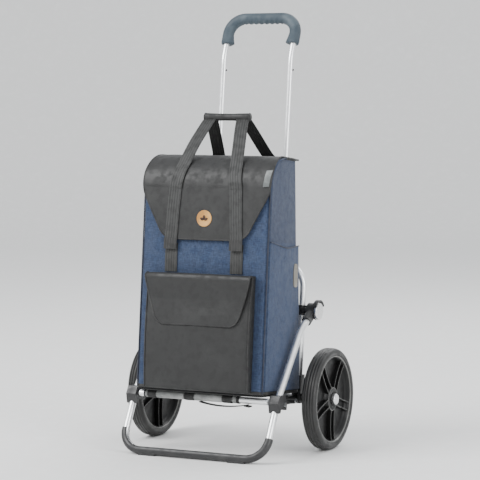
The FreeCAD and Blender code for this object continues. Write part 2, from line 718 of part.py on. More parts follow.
board_inset = 6
base_back = -board_inset
base_front = -V["bag_depth"] + 4
waist_end = base_back - V["base_waist_long"]
right_edge = [(V["base_waist"], base_back), (V["base_waist"], waist_end),
              (V["base_half"], waist_end), (V["base_half"], base_front)]
left_edge = [(-x, y) for x, y in reversed(right_edge)]
board = plate([Vector(x, y, 0) for x, y in right_edge + left_edge],
              V["base_board"] - V["gap"], Vector(0, 0, -1))
board.translate(Vector(0, 0, -V["gap"]))
solid_part("bag_base_panel", board, soft)

top = V["bag_tall"] + V["gap"]
front_at = -V["bag_depth"] - V["strap_wall"] - 2 * V["gap"]
flap_wall = V["flap_wall"]
rounding = V["flap_round"]


def flap_profile():
    """The flap's top in side view: flat, then rounded over the front edge."""
    outer = rounding + flap_wall
    flat = Part.makeBox(2 * V["flap_half"], -front_at + flap_wall - outer, flap_wall,
                        Vector(-V["flap_half"], front_at - flap_wall + outer, top))
    centre = Vector(-V["flap_half"], front_at - flap_wall + outer, top - rounding)
    ring = Part.makeCylinder(outer, 2 * V["flap_half"], centre, Vector(1, 0, 0))
    ring = ring.cut(Part.makeCylinder(rounding, 2 * V["flap_half"], centre, Vector(1, 0, 0)))
    corner_box = Part.makeBox(2 * V["flap_half"], outer, outer,
                              Vector(-V["flap_half"], front_at - flap_wall, top - rounding))
    return flat.fuse(ring.common(corner_box)).removeSplitter()


def under_flap_edge(shape):
    """Trim the bag's front top edge to the inside of the flap's rounding."""
    block = Part.makeBox(2 * V["bag_half"], rounding + 10, rounding + 10,
                         Vector(-V["bag_half"], front_at - 10, top - rounding))
    centre = Vector(-V["bag_half"], front_at + rounding, top - rounding)
    return shape.cut(block.cut(Part.makeCylinder(rounding - V["gap"], 2 * V["bag_half"], centre,
                                                 Vector(1, 0, 0))))


tub = bag_loft(0, 0).cut(bag_loft(V["bag_wall"], V["bag_wall"]))
solid_part("bag_shell", under_flap_edge(tub), soft)

outline_half = [(-V["bag_half_top"], 20), (V["bag_half_top"], 20), (V["flap_half"], front_at),
                (V["flap_half"], front_at - 20), (-V["flap_half"], front_at - 20),
                (-V["flap_half"], front_at)]
plan = plate([Vector(x, y, 0) for x, y in outline_half], 2 * V["bag_tall"], Vector(0, 0, 1))
cover_corner = 24
low_half = V["flap_low_half"]
right_side = [(low_half, V["flap_low"]),
              (low_half + cover_corner, V["flap_low"] + cover_corner),
              (V["flap_half"] - 5, V["flap_flare"]),
              (V["flap_half"], V["flap_flare"] + 30),
              (V["flap_half"], top + 2 * flap_wall)]
left_side = [(-x, z) for x, z in reversed(right_side)]
front_view = plate([Vector(x, front_at - 2 * flap_wall, z) for x, z in right_side + left_side],
                   2 * V["bag_depth"], Vector(0, 1, 0))
flap_top = flap_profile().common(plan).common(front_view)
solid_part("flap_top", flap_top, soft)

skirt_high = top - rounding - V["gap"]
sheet_of_cover = Part.makeBox(2 * V["flap_half"], flap_wall, skirt_high,
                              Vector(-V["flap_half"], front_at - flap_wall, 0))
solid_part("flap_skirt", sheet_of_cover.common(front_view), soft)

badge_at = front_at - flap_wall
badge = Part.makeCylinder(V["badge_diameter"] / 2, 2, Vector(0, badge_at, V["badge_up"]),
                          Vector(0, -1, 0))
solid_part("badge", badge, soft)

pocket_back = -V["bag_depth"] - V["gap"]
pocket_half = V["pocket_half"]
pocket = Part.makeBox(2 * pocket_half, V["pocket_deep"], V["pocket_tall"],
                      Vector(-pocket_half, pocket_back - V["pocket_deep"], 2))
hollow = Part.makeBox(2 * pocket_half - 6, V["pocket_deep"] - 5, V["pocket_tall"],
                      Vector(-pocket_half + 3, pocket_back - V["pocket_deep"] + 3, 5))
solid_part("front_pocket", pocket.cut(hollow), soft)

flap_y = pocket_back - V["pocket_deep"] - V["gap"]
pocket_top = V["pocket_tall"] + 2
face = plate([Vector(x, flap_y, z) for x, z in (
    (-V["pocket_flap_half"], V["pocket_flap_low"]), (V["pocket_flap_half"], V["pocket_flap_low"]),
    (pocket_half, pocket_top + 2.8), (-pocket_half, pocket_top + 2.8))],
    2.4, Vector(0, -1, 0))
lid = Part.makeBox(2 * pocket_half, V["pocket_deep"] - V["gap"], 2.4,
                   Vector(-pocket_half, flap_y, pocket_top + V["gap"]))
solid_part("pocket_flap", face.fuse(lid).removeSplitter(), soft)


def band(points, width):
    """A flat strap through centre points, lying across X, with its faces along the run."""
    strips = []
    for a, b in zip(points, points[1:]):
        way = b - a
        normal = Vector(1, 0, 0).cross(way).normalize()
        half = Vector(width / 2, 0, 0)
        quad = Part.Face(Part.makePolygon([a - half, a + half, b + half, b - half, a - half]))
        quad.translate(normal * (-V["strap_wall"] / 2))
        strips.append(quad.extrude(normal * V["strap_wall"]))
    shape = strips[0]
    for strip in strips[1:]:
        shape = shape.fuse(strip)
    return shape


strap_y = pocket_back - V["strap_wall"] / 2
skirt_strap_y = front_at - flap_wall - V["strap_wall"] / 2 - 0.1
carry = Vector(0, -V["carry_ahead"], V["bag_tall"] + V["carry_rise"])
hold = carry - Vector(0, 0, V["carry_diameter"] / 2 + V["strap_wall"] / 2 + 0.3)


def make_lower_strap(name):
    low = Vector(V["strap_place"], strap_y, pocket_top + 6)
    high = Vector(V["strap_place"], strap_y, V["flap_low"] - 14)
    return solid_part(name, band([low, high], V["strap_width"]), soft)


def make_front_strap(name):
    low = Vector(V["strap_place"], skirt_strap_y, V["flap_low"] - 12)
    high = Vector(V["strap_bend_place"], skirt_strap_y, skirt_high - 1)
    return solid_part(name, band([low, high], V["strap_width"]), soft)


def make_carry_strap(name):
    """From the flap's rounded edge up to the grip, and down to the back edge."""
    bend_radius = rounding + flap_wall + 2.2 * V["strap_wall"]
    inward = V["strap_bend_place"] - V["strap_top_place"]
    over_edge = []
    for angle in (1, 14, 27, 40):
        turn = math.radians(angle)
        over_edge.append(Vector(V["strap_bend_place"] - inward * angle / 40,
                                front_at + rounding - bend_radius * math.cos(turn),
                                top - rounding + bend_radius * math.sin(turn)))
    high = Vector(V["carry_half"] - V["strap_width"] / 2, hold.y, hold.z)
    back_low = Vector(V["strap_top_place"], -6, top + flap_wall + 1.5 * V["strap_wall"])
    return solid_part(name, band(over_edge + [high, back_low], V["strap_width"]), soft)


pair(make_lower_strap, "lower_strap")
pair(make_front_strap, "front_strap")
pair(make_carry_strap, "carry_strap")
grip = rod(carry - Vector(V["carry_half"], 0, 0), carry + Vector(V["carry_half"], 0, 0),
           V["carry_diameter"])
solid_part("carry_grip", grip, soft)

# ---- Check and write ------------------------------------------------------------
doc.recompute()
for thing in doc.Objects:
    if "Invalid" in thing.State or "Error" in thing.State:
        raise RuntimeError(f"{thing.Name}: {thing.State}")
os.makedirs("parts", exist_ok=True)
box = FreeCAD.BoundBox()
for thing in parts:
    shape = thing.Shape
    if shape.isNull() or not shape.isValid() or not shape.Solids:
        raise RuntimeError(f"{thing.Label} has no valid solid")
    shape.exportStep(f"parts/{thing.Label}.step")
    box.add(shape.BoundBox)
    print(f"{thing.Label:24s} {len(shape.Solids)} solid(s) {shape.Volume / 1000:9.2f} cm3")
print("axle at Y", round(AXLE_Y, 3), "box", box)
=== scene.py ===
# %% [markdown]
# A shopping trolley is half machine and half bag. The frame, wheels and hinges come from the CAD
# model and stay where it puts them. What Blender adds is everything that a hand would notice: woven
# cloth, webbing, stitches, a soft grip, moulded wheels and the shine of the tubes.

# %% Load the fixed frame
import json
from math import acos, copysign, cos, pi, radians, sin, sqrt

import bmesh
import bpy
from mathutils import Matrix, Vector, noise


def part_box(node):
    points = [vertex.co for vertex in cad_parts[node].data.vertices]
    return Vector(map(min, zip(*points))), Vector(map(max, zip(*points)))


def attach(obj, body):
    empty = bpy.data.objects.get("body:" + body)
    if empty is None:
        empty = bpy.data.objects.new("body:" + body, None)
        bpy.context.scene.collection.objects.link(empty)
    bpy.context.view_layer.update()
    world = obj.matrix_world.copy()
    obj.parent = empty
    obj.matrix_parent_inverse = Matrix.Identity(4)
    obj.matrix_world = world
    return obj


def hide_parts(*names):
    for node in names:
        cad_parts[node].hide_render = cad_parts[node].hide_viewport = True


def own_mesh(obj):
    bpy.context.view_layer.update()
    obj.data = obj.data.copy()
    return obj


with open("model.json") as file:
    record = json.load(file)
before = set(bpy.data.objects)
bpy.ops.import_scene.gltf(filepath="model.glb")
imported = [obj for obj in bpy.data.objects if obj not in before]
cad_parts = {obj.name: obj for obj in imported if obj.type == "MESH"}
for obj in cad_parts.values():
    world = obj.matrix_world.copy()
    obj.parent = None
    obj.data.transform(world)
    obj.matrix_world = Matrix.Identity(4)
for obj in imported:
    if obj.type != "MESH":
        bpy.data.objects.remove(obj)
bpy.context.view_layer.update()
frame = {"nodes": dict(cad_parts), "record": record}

# %% [markdown]
# The bag leans back with the frame, so it is easiest to model in its own axes: x across, "ahead"
# from its back panel to the front, and "up" along its lean. One function turns those into the
# frame's axes, and two turn a point back. The places are read from the CAD boxes, so the soft
# goods stay on the frame.

# %% Places read from the frame
MM = 0.001
ACROSS = Vector((1, 0, 0))
SIDES = (("right", 1), ("left", -1))
BAG_LEAN = radians(5.36)
BAG_DEPTH = 212 * MM
BAG_TALL = 571 * MM
BAG_HALF = 173.5 * MM
BAG_HALF_TOP = 143 * MM
BAG_FRONT_HALF = 170 * MM
bag_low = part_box("bag_shell")[0]
BAG_Y = bag_low.y + BAG_DEPTH * cos(BAG_LEAN)
BAG_Z = bag_low.z


def bag_point(x, ahead, up):
    y = BAG_Y - ahead * cos(BAG_LEAN) + up * sin(BAG_LEAN)
    z = BAG_Z + ahead * sin(BAG_LEAN) + up * cos(BAG_LEAN)
    return Vector((x, y, z))


def bag_ahead(point):
    return -(point.y - BAG_Y) * cos(BAG_LEAN) + (point.z - BAG_Z) * sin(BAG_LEAN)


def bag_up(point):
    return (point.y - BAG_Y) * sin(BAG_LEAN) + (point.z - BAG_Z) * cos(BAG_LEAN)


tyre_low, tyre_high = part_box("tyre_right")
AXLE = (tyre_low + tyre_high) / 2
WHEEL_RADIUS = (tyre_high.z - tyre_low.z) / 2
print("bag back", round(BAG_Y, 4), round(BAG_Z, 4), "wheel", AXLE, WHEEL_RADIUS)

# %% [markdown]
# Small helpers make the meshes. Each one takes plain points, welds only those that coincide, and
# leaves the object at the origin, so a pattern on Object coordinates stays put. Normals are
# recalculated on closed meshes before anything else is done to them.


# %% Mesh helpers
def add_object(name, data):
    made = bpy.data.objects.new(name, data)
    bpy.context.scene.collection.objects.link(made)
    return made


def evenly(low, high, steps):
    """Even values from low to high, with both ends."""
    return [low + (high - low) * n / steps for n in range(steps + 1)]


def full_turn(count):
    return [2 * pi * n / count for n in range(count)]


def quarter_turn(steps):
    return [pi / 2 * n / steps for n in range(steps + 1)]


def clamp(value):
    return min(1, max(0, value))


def arch(share):
    """0 at both ends of a run and 1 in its middle."""
    return sin(pi * share)


def dome(x, half):
    """1 in the middle, falling to 0 at the half width."""
    return cos(pi / 2 * min(1, abs(x) / half))


def squared(value, power):
    """A sine or cosine pushed outwards, which squares off a circle."""
    return copysign(abs(value) ** power, value)


def piece(name, verts, faces, material, smooth=True, outward=True):
    mesh = bpy.data.meshes.new(name)
    mesh.from_pydata([tuple(v) for v in verts], [], faces)
    if outward:
        work = bmesh.new()
        work.from_mesh(mesh)
        bmesh.ops.remove_doubles(work, verts=work.verts, dist=1e-6)
        bmesh.ops.recalc_face_normals(work, faces=work.faces)
        work.to_mesh(mesh)
        work.free()
    mesh.polygons.foreach_set("use_smooth", [smooth] * len(mesh.polygons))
    mesh.materials.append(material)
    return add_object(name, mesh)


def sheet(name, rows, material, flip=False):
    """An open grid through rows of points."""
    wide = len(rows[0])
    faces = []
    for r in range(len(rows) - 1):
        for c in range(wide - 1):
            a = r * wide + c
            faces.append((a, a + wide, a + wide + 1, a + 1) if flip else
                         (a, a + 1, a + wide + 1, a + wide))
    return piece(name, [p for row in rows for p in row], faces, material, outward=False)


def loft(name, rings, material, caps=True, smooth=True):
    """Join closed rings of the same number of points."""
    count = len(rings[0])
    verts = [p for ring in rings for p in ring]
    faces = []
    for r in range(len(rings) - 1):
        for i in range(count):
            j = (i + 1) % count
            faces.append((r * count + i, r * count + j, (r + 1) * count + j, (r + 1) * count + i))
    if caps:
        faces.append(tuple(range(count)))
        start = (len(rings) - 1) * count
        faces.append(tuple(range(start, start + count)))
    return piece(name, verts, faces, material, smooth)


def lathe(name, profile, centre, material, segments=96):
    """Turn a closed profile of (along X, radius) points around an axis along X."""
    rings = []
    for a in full_turn(segments):
        rings.append([Vector((centre.x + x, centre.y + r * cos(a), centre.z + r * sin(a)))
                      for x, r in profile])
    rings.append(rings[0])
    return loft(name, rings, material, caps=False)


def smooth_line(points, steps=8):
    """A Catmull-Rom line through the points."""
    ends = [points[0] * 2 - points[1]] + list(points) + [points[-1] * 2 - points[-2]]
    line = []
    for a, b, c, d in zip(ends, ends[1:], ends[2:], ends[3:]):
        for n in range(steps):
            t = n / steps
            line.append(0.5 * (2 * b + (c - a) * t + (2 * a - 5 * b + 4 * c - d) * t * t
                               + (3 * b - a - 3 * c + d) * t * t * t))
    line.append(Vector(points[-1]))
    return line


def sweep(name, line, section, material, up=ACROSS, closed=False):
    """Carry a section along a line. section(share) gives (across, out) pairs."""
    rings = []
    count = len(line)
    for n, spot in enumerate(line):
        before = line[n - 1] if n or closed else line[0]
        after = line[(n + 1) % count] if n < count - 1 or closed else line[-1]
        way = (after - before).normalized()
        across = (up - way * up.dot(way)).normalized()
        out = way.cross(across)
        rings.append([spot + across * a + out * b for a, b in section(n / (count - 1))])
    if closed:
        rings.append(rings[0])
    return loft(name, rings, material, caps=not closed)


def round_section(radius, sides=8):
    ring = [(radius * cos(a), radius * sin(a)) for a in full_turn(sides)]
    return lambda share: ring


def join(name, pieces):
    """Make one object of several, with their materials."""
    work = bmesh.new()
    materials = list(dict.fromkeys(m for part in pieces for m in part.data.materials))
    for part in pieces:
        lookup = [materials.index(m) for m in part.data.materials]
        before = len(work.faces)
        work.from_mesh(part.data)
        work.faces.ensure_lookup_table()
        for face in work.faces[before:]:
            face.material_index = lookup[face.material_index]
    mesh = bpy.data.meshes.new(name)
    work.to_mesh(mesh)
    work.free()
    for m in materials:
        mesh.materials.append(m)
    for part in pieces:
        bpy.data.objects.remove(part)
    return add_object(name, mesh)


def turn_outward(work, middle):
    """Make the faces agree, and face away from a point inside."""
    bmesh.ops.recalc_face_normals(work, faces=work.faces)
    if sum(f.normal.dot(f.calc_center_median() - middle) for f in work.faces) < 0:
        bmesh.ops.reverse_faces(work, faces=work.faces)


def close_bottom(made, middle):
    """Fill the lowest opening of a loft that stands open at both ends."""
    work = bmesh.new()
    work.from_mesh(made.data)
    rim = [e for e in work.edges if e.is_boundary]
    near_floor = min(v.co.z for e in rim for v in e.verts) + 50 * MM
    low_rim = [e for e in rim if e.verts[0].co.z < near_floor]
    bmesh.ops.holes_fill(work, edges=low_rim, sides=0)
    turn_outward(work, middle)
    work.to_mesh(made.data)
    work.free()


def bake_modifiers(made):
    """Turn the live modifiers into a plain mesh."""
    bpy.context.view_layer.update()
    graph = bpy.context.evaluated_depsgraph_get()
    mesh = bpy.data.meshes.new_from_object(made.evaluated_get(graph))
    made.modifiers.clear()
    made.data = mesh
    return made


def thicken(made, wall, offset=-1.0):
    """Give an open sheet a wall: offset -1 grows inwards, 1 outwards, 0 both ways."""
    solid = made.modifiers.new("wall", "SOLIDIFY")
    solid.thickness = wall
    solid.offset = offset
    bake_modifiers(made)
    made.data.set_sharp_from_angle(angle=radians(50))
    return made


# %% [markdown]
# Three surface effects come back on many materials, so each is a node group with named inputs. A
# group gives out only a mask or a height, and the Principled shader stays in each material. The
# weave crosses two sets of threads on Object coordinates, so it needs no UV map and works on the
# bag's front and sides alike. The mottle stretches noise along the threads, as a two-tone yarn
# does. The scuff mask is broken noise for wear and dust.


# %% Shader node groups
def new_group(name, inputs, outputs):
    group = bpy.data.node_groups.new(name, "ShaderNodeTree")
    kind = "NodeSocketFloat"
    for label, value in inputs:
        socket = group.interface.new_socket(label, in_out="INPUT", socket_type=kind)
        socket.default_value = value
    for label in outputs:
        group.interface.new_socket(label, in_out="OUTPUT", socket_type=kind)
    start = group.nodes.new("NodeGroupInput")
    end = group.nodes.new("NodeGroupOutput")
    return group, start, end


def feed(tree, socket, value):
    """Set an input to a value, or link it to another node's output."""
    if isinstance(value, bpy.types.NodeSocket):
        tree.links.new(value, socket)
    else:
        socket.default_value = value


def maths(tree, kind, a, b=None):
    node = tree.nodes.new("ShaderNodeMath")
    node.operation = kind
    feed(tree, node.inputs[0], a)
    if b is not None:
        feed(tree, node.inputs[1], b)
    return node.outputs[0]


def noise_of(tree, vector, scale, detail=3.0):
    node = tree.nodes.new("ShaderNodeTexNoise")
    node.inputs["Detail"].default_value = detail
    tree.links.new(vector, node.inputs["Vector"])
    feed(tree, node.inputs["Scale"], scale)
    return node.outputs["Fac"]


def object_spot(tree):
    return tree.nodes.new("ShaderNodeTexCoord").outputs["Object"]


def axes_of(tree, vector):
    split = tree.nodes.new("ShaderNodeSeparateXYZ")
    tree.links.new(vector, split.inputs[0])
    return split.outputs


def stretched(tree, vector, scale):
    node = tree.nodes.new("ShaderNodeMapping")
    node.inputs["Scale"].default_value = scale
    tree.links.new(vector, node.inputs["Vector"])
    return node.outputs[0]


weave, start, end = new_group("thread_weave", [("Threads per metre", 1400.0)], ["Height"])
axes = axes_of(weave, object_spot(weave))
turn = maths(weave, "MULTIPLY", start.outputs[0], 2 * pi)
warp = maths(weave, "SINE", maths(weave, "MULTIPLY", maths(weave, "ADD", axes[0], axes[1]), turn))
weft = maths(weave, "SINE", maths(weave, "MULTIPLY", axes[2], turn))
weave.links.new(maths(weave, "MULTIPLY", warp, weft), end.inputs[0])

mottle, start, end = new_group("yarn_mottle", [("Fineness", 1.0)], ["Mask"])
spot = object_spot(mottle)
tall = noise_of(mottle, stretched(mottle, spot, (520, 520, 90)), start.outputs[0])
wide = noise_of(mottle, stretched(mottle, spot, (110, 110, 560)), start.outputs[0])
both = maths(mottle, "ADD", tall, wide)
mottle.links.new(maths(mottle, "MULTIPLY", both, 0.5), end.inputs[0])

scuff, start, end = new_group("scuff_mask", [("Size", 24.0), ("Edge", 0.52)], ["Mask"])
patches = noise_of(scuff, object_spot(scuff), start.outputs[0], 6.0)
over = maths(scuff, "SUBTRACT", patches, start.outputs[1])
soft = maths(scuff, "MULTIPLY", over, 6.0)
clip = scuff.nodes.new("ShaderNodeClamp")
scuff.links.new(soft, clip.inputs[0])
scuff.links.new(clip.outputs[0], end.inputs[0])
print("groups", [g.name for g in (weave, mottle, scuff)])

# %% [markdown]
# Every finish is built the same way: two colours mixed by a mask, a roughness that varies with
# another mask, and a bump from a height. One function does that, and each finish states only what
# is special about it. Constants such as sheen sit on the shader's own sockets.


# %% Finishes
def finish(name, dark, light, rough=(0.5, 0.7), metal=0.0, mask=None, height=None, bump=0.1,
           bump_distance=0.0002, **shader):
    material = bpy.data.materials.new(name)
    material.use_nodes = True
    tree = material.node_tree
    face = tree.nodes["Principled BSDF"]
    face.inputs["Metallic"].default_value = metal
    for label, value in shader.items():
        title = label.replace("_", " ").title().replace("Ior", "IOR")
        face.inputs[title].default_value = value
    mask_socket = mask(tree) if mask else use_group(tree, scuff, {})
    colours = tree.nodes.new("ShaderNodeMix")
    colours.data_type = "RGBA"
    colours.inputs["A"].default_value = (*dark, 1)
    colours.inputs["B"].default_value = (*light, 1)
    tree.links.new(mask_socket, colours.inputs["Factor"])
    tree.links.new(colours.outputs["Result"], face.inputs["Base Color"])
    spread = tree.nodes.new("ShaderNodeMapRange")
    spread.inputs["To Min"].default_value = rough[0]
    spread.inputs["To Max"].default_value = rough[1]
    tree.links.new(use_group(tree, scuff, {"Size": 60.0, "Edge": 0.45}), spread.inputs["Value"])
    tree.links.new(spread.outputs[0], face.inputs["Roughness"])
    if height:
        node = tree.nodes.new("ShaderNodeBump")
        node.inputs["Strength"].default_value = bump
        node.inputs["Distance"].default_value = bump_distance
        tree.links.new(height(tree), node.inputs["Height"])
        tree.links.new(node.outputs[0], face.inputs["Normal"])
    return material


def use_group(tree, group, values):
    node = tree.nodes.new("ShaderNodeGroup")
    node.node_tree = group
    for label, value in values.items():
        node.inputs[label].default_value = value
    return node.outputs[0]


def mottled(fineness):
    def make(tree):
        wide = maths(tree, "SUBTRACT", use_group(tree, mottle, {"Fineness": fineness}), 0.36)
        return maths(tree, "MULTIPLY", wide, 3.2)
    return make


def woven(threads):
    return lambda tree: use_group(tree, weave, {"Threads per metre": threads})


def grained(size):
    return lambda tree: noise_of(tree, object_spot(tree), size, 8.0)


def brushed(size):
    """Fine drawing marks and slight waviness of drawn tube."""
    def make(tree):
        return noise_of(tree, stretched(tree, object_spot(tree), (1, 1, 0.06)), size, 4.0)
    return make


PICKS_PER_METRE = 2600.0


def ribbed(ribs):
    """Webbing: ribs along its length, read from the strap's own UV map."""
    def make(tree):
        uv = tree.nodes.new("ShaderNodeUVMap")
        uv.uv_map = "strap"
        beside, along, _ = axes_of(tree, uv.outputs[0])
        lines = maths(tree, "SINE", maths(tree, "MULTIPLY", beside, ribs * 2 * pi))
        picks = maths(tree, "SINE", maths(tree, "MULTIPLY", along, PICKS_PER_METRE))
        return maths(tree, "ADD", lines, maths(tree, "MULTIPLY", picks, 0.35))
    return make


def ribbed_mask(ribs):
    def make(tree):
        return maths(tree, "ADD", maths(tree, "MULTIPLY", ribbed(ribs)(tree), 0.3), 0.45)
    return make


tube_metal = finish("satin_aluminium", (0.90, 0.91, 0.92), (0.95, 0.955, 0.955), (0.3, 0.42), 0.9,
                    height=brushed(900.0), bump=0.04, bump_distance=0.0001)
cap_metal = finish("bright_cap", (0.80, 0.80, 0.80), (0.88, 0.88, 0.87), (0.18, 0.3), 1.0,
                   height=grained(500.0), bump=0.03, bump_distance=0.0001)
steel = finish("zinc_steel", (0.42, 0.43, 0.44), (0.58, 0.58, 0.56), (0.3, 0.5), 1.0,
               height=grained(300.0), bump=0.06)
plastic = finish("charcoal_plastic", (0.018, 0.018, 0.019), (0.034, 0.034, 0.034), (0.38, 0.55),
                 height=grained(2600.0), bump=0.22)
# The rim's plastic is black, and is kept darker and duller than the other black plastic as painted
# shade on its recessed web.
rim_plastic = finish("moulded_rim_with_painted_shade", (0.003, 0.003, 0.003), (0.007, 0.007, 0.007), (0.42, 0.55),
                     height=grained(1800.0), bump=0.08, bump_distance=0.0001,
                     specular_ior_level=0.3)
# A lighter plastic for the ribs' edges and the rim's lip: a painted highlight.
highlight_edge_finish = finish("painted_highlight_on_rim", (0.11, 0.11, 0.105), (0.19, 0.19, 0.18), (0.3, 0.42),
                  height=grained(1800.0), bump=0.08, bump_distance=0.0001)
rubber = finish("tyre_rubber", (0.012, 0.012, 0.0115), (0.024, 0.0235, 0.023), (0.4, 0.58),
                height=grained(1400.0), bump=0.2, bump_distance=0.0003)
grip_foam = finish("slate_foam", (0.040, 0.058, 0.074), (0.070, 0.094, 0.112), (0.6, 0.8),
                   height=grained(2400.0), bump=0.3, bump_distance=0.0003)
blue_cloth = finish("blue_melange", (0.009, 0.019, 0.050), (0.034, 0.060, 0.124), (0.75, 0.9),
                    mask=mottled(1.0), height=woven(900.0), bump=0.35, bump_distance=0.0003,
                    sheen_weight=0.08, sheen_roughness=0.5)
# A darker copy of the blue melange: painted shade for the bag's upper side panels.
blue_painted_shade = finish("blue_painted_shade", (0.007, 0.014, 0.038), (0.025, 0.044, 0.092), (0.75, 0.9),
                     mask=mottled(1.3), height=woven(900.0), bump=0.35, bump_distance=0.0003,
                     sheen_weight=0.08, sheen_roughness=0.5)
lining = finish("dark_lining", (0.012, 0.013, 0.015), (0.028, 0.029, 0.032), (0.6, 0.8),
                height=woven(1100.0), bump=0.2)
black_cloth = finish("coated_black_cloth", (0.0075, 0.0077, 0.0076), (0.0125, 0.0128, 0.0126),
                     (0.50, 0.66), height=woven(1000.0), bump=0.16,
                     sheen_weight=0.05, sheen_roughness=0.4)
binding = finish("binding_tape", (0.014, 0.014, 0.014), (0.030, 0.030, 0.029), (0.6, 0.8),
                 height=woven(1500.0), bump=0.3)
piping = finish("navy_piping", (0.008, 0.012, 0.028), (0.020, 0.028, 0.056), (0.55, 0.7),
                height=woven(1500.0), bump=0.2)
webbing = finish("grey_webbing", (0.009, 0.0093, 0.009), (0.034, 0.035, 0.034), (0.55, 0.75),
                 mask=ribbed_mask(5.0), height=ribbed(5.0), bump=0.6, bump_distance=0.0004)
# Black webbing for the strap tabs and the band's tongue; on the rear of the carrying straps it is
# painted shade.
webbing_dark_and_shaded = finish("webbing_black_and_painted_shade", (0.010, 0.010, 0.010), (0.022, 0.022, 0.021), (0.6, 0.8),
                      mask=ribbed_mask(5.0), height=ribbed(5.0), bump=0.5, bump_distance=0.0004)
reflective = finish("grey_reflective", (0.150, 0.138, 0.115), (0.205, 0.190, 0.160), (0.42, 0.55),
                    height=grained(1500.0), bump=0.15)
wrap_grey = finish("grey_wrap", (0.22, 0.225, 0.22), (0.42, 0.425, 0.42), (0.6, 0.75),
                   height=woven(700.0), bump=0.5, bump_distance=0.0004)
cork = finish("tan_cork", (0.40, 0.19, 0.045), (0.60, 0.33, 0.10), (0.6, 0.75),
              height=grained(900.0), bump=0.3, bump_distance=0.0003)
motif = finish("burnt_motif", (0.030, 0.014, 0.008), (0.075, 0.035, 0.018), (0.6, 0.8),
               height=grained(900.0), bump=0.2)
thread = finish("sewing_thread", (0.020, 0.022, 0.026), (0.040, 0.043, 0.048), (0.5, 0.7),
                height=grained(3000.0), bump=0.2)
label_cloth = finish("satin_label", (0.10, 0.11, 0.11), (0.24, 0.25, 0.25), (0.35, 0.5),
                     height=woven(1800.0), bump=0.2)
print(len(bpy.data.materials), "finishes")

# %% [markdown]
# The CAD pieces that already have their right shape only need a finish. The record names each
# node's slot, so one table from slot to finish covers them all.

# %% Finishes on the CAD nodes
SLOT_FINISH = {
    "silver_tube": tube_metal, "silver_cap": cap_metal, "steel": steel, "black_plastic": plastic,
    "rim_plastic": rim_plastic, "tyre_rubber": rubber, "grip_foam": grip_foam,
    "blue_cloth": blue_cloth, "black_cloth": black_cloth, "webbing": webbing,
    "tan_leather": cork,
}
for part in frame["record"]["subparts"]:
    cad_node = frame["nodes"][part["node"]]
    cad_node.data.materials.clear()
    cad_node.data.materials.append(SLOT_FINISH[part["material_slot"]])
print("finished", len(frame["nodes"]), "CAD nodes")

# %% [markdown]
# The stage is only there to show the trolley: a pale floor that curves up all round, wide soft
# lamps, and a camera with a long lens a little below the handle. A long lens keeps the two wheels
# nearly the same size, which tells the eye that the trolley is small.

# %% Stage, lamps and camera
floor_paint = finish("pale_floor", (0.86, 0.86, 0.85), (0.89, 0.89, 0.88), (0.6, 0.75))
FLOOR_FLAT = 6.5
FLOOR_BEND = 2.4
floor_profile = [(0.0, 0.0), (3.0, 0.0)]
floor_profile += [(FLOOR_FLAT + FLOOR_BEND * sin(a), FLOOR_BEND - FLOOR_BEND * cos(a))
                  for a in quarter_turn(12)]
floor_profile.append((8.95, 3.4))
spokes = full_turn(96)
floor = sheet("floor_bowl", [[(r * cos(a), r * sin(a), z) for r, z in floor_profile]
                             for a in spokes + spokes[:1]], floor_paint)


def lamp(name, place, aim, size, power, tint=(1, 1, 1)):
    data = bpy.data.lights.new(name, "AREA")
    data.shape = "RECTANGLE"
    data.size, data.size_y = size
    data.energy = power
    data.color = tint
    made = add_object(name, data)
    made.location = place
    made.rotation_euler = (Vector(aim) - Vector(place)).to_track_quat("-Z", "Y").to_euler()


lamp("key_lamp", (-2.2, -2.6, 3.2), (0, 0, 0.5), (2.4, 2.4), 200)
lamp("side_lamp", (3.4, -1.4, 1.8), (0, 0, 0.5), (1.6, 2.4), 70)
lamp("back_lamp", (0.6, 3.0, 3.0), (0, 0, 0.6), (3.0, 1.6), 70)
world = bpy.data.worlds.new("studio")
world.use_nodes = True
sky = world.node_tree.nodes["Background"].inputs
sky["Color"].default_value = (0.95, 0.97, 1.0, 1)
sky["Strength"].default_value = 1.12
bpy.context.scene.world = world

camera_data = bpy.data.cameras.new("camera")
camera_data.lens = 152.9
camera_data.sensor_width = 36
camera = add_object("camera", camera_data)
CAMERA_DIP, CAMERA_TURN = radians(4.21), radians(25.77)
camera.location = (2.2066, -4.5105, 0.8826)
camera.rotation_euler = (pi / 2 - CAMERA_DIP, 0, CAMERA_TURN)
bpy.context.scene.camera = camera
print("camera at", tuple(camera.location))

# %% [markdown]
# A wheel is a turned shape, so its tyre and rim are profiles spun around the axle. The tyre has
# rounded shoulders and four shallow grooves. The rim is a hollow dish: a lip, a thin closed web
# and a hub boss. Its ribs repeat around the hub, and that is work for Geometry Nodes.

# %% Tyre and rim profiles
def mirrored(half):
    """Both halves of a profile in metres, from one half in millimetres."""
    near = [(x * MM, r * MM) for x, r in half]
    return near + [(-x, r) for x, r in reversed(near)]


half_tyre = [(16.6, 107.3), (18.0, 109.5), (19.0, 113.5), (18.6, 117.5), (16.8, 120.8),
             (13.9, 123.0), (11.6, 123.9), (11.2, 122.3), (9.8, 122.3), (9.4, 124.4),
             (5.0, 124.9), (4.6, 123.2), (3.2, 123.2), (2.8, 125.0)]
half_rim = [(16.5, 106.9), (16.5, 104.6), (15.9, 103.9), (14.6, 103.6), (14.0, 102.4),
            (8.0, 100.2), (3.0, 97.0), (1.9, 93.0), (1.7, 60.0), (2.2, 36.0), (4.0, 31.4),
            (12.6, 29.4), (13.6, 28.6), (13.9, 27.4), (13.9, 17.0), (12.6, 16.2), (12.6, 10.4)]
tyre_profile, rim_profile = mirrored(half_tyre), mirrored(half_rim)
print(len(tyre_profile), "points in the tyre,", len(rim_profile), "in the rim")


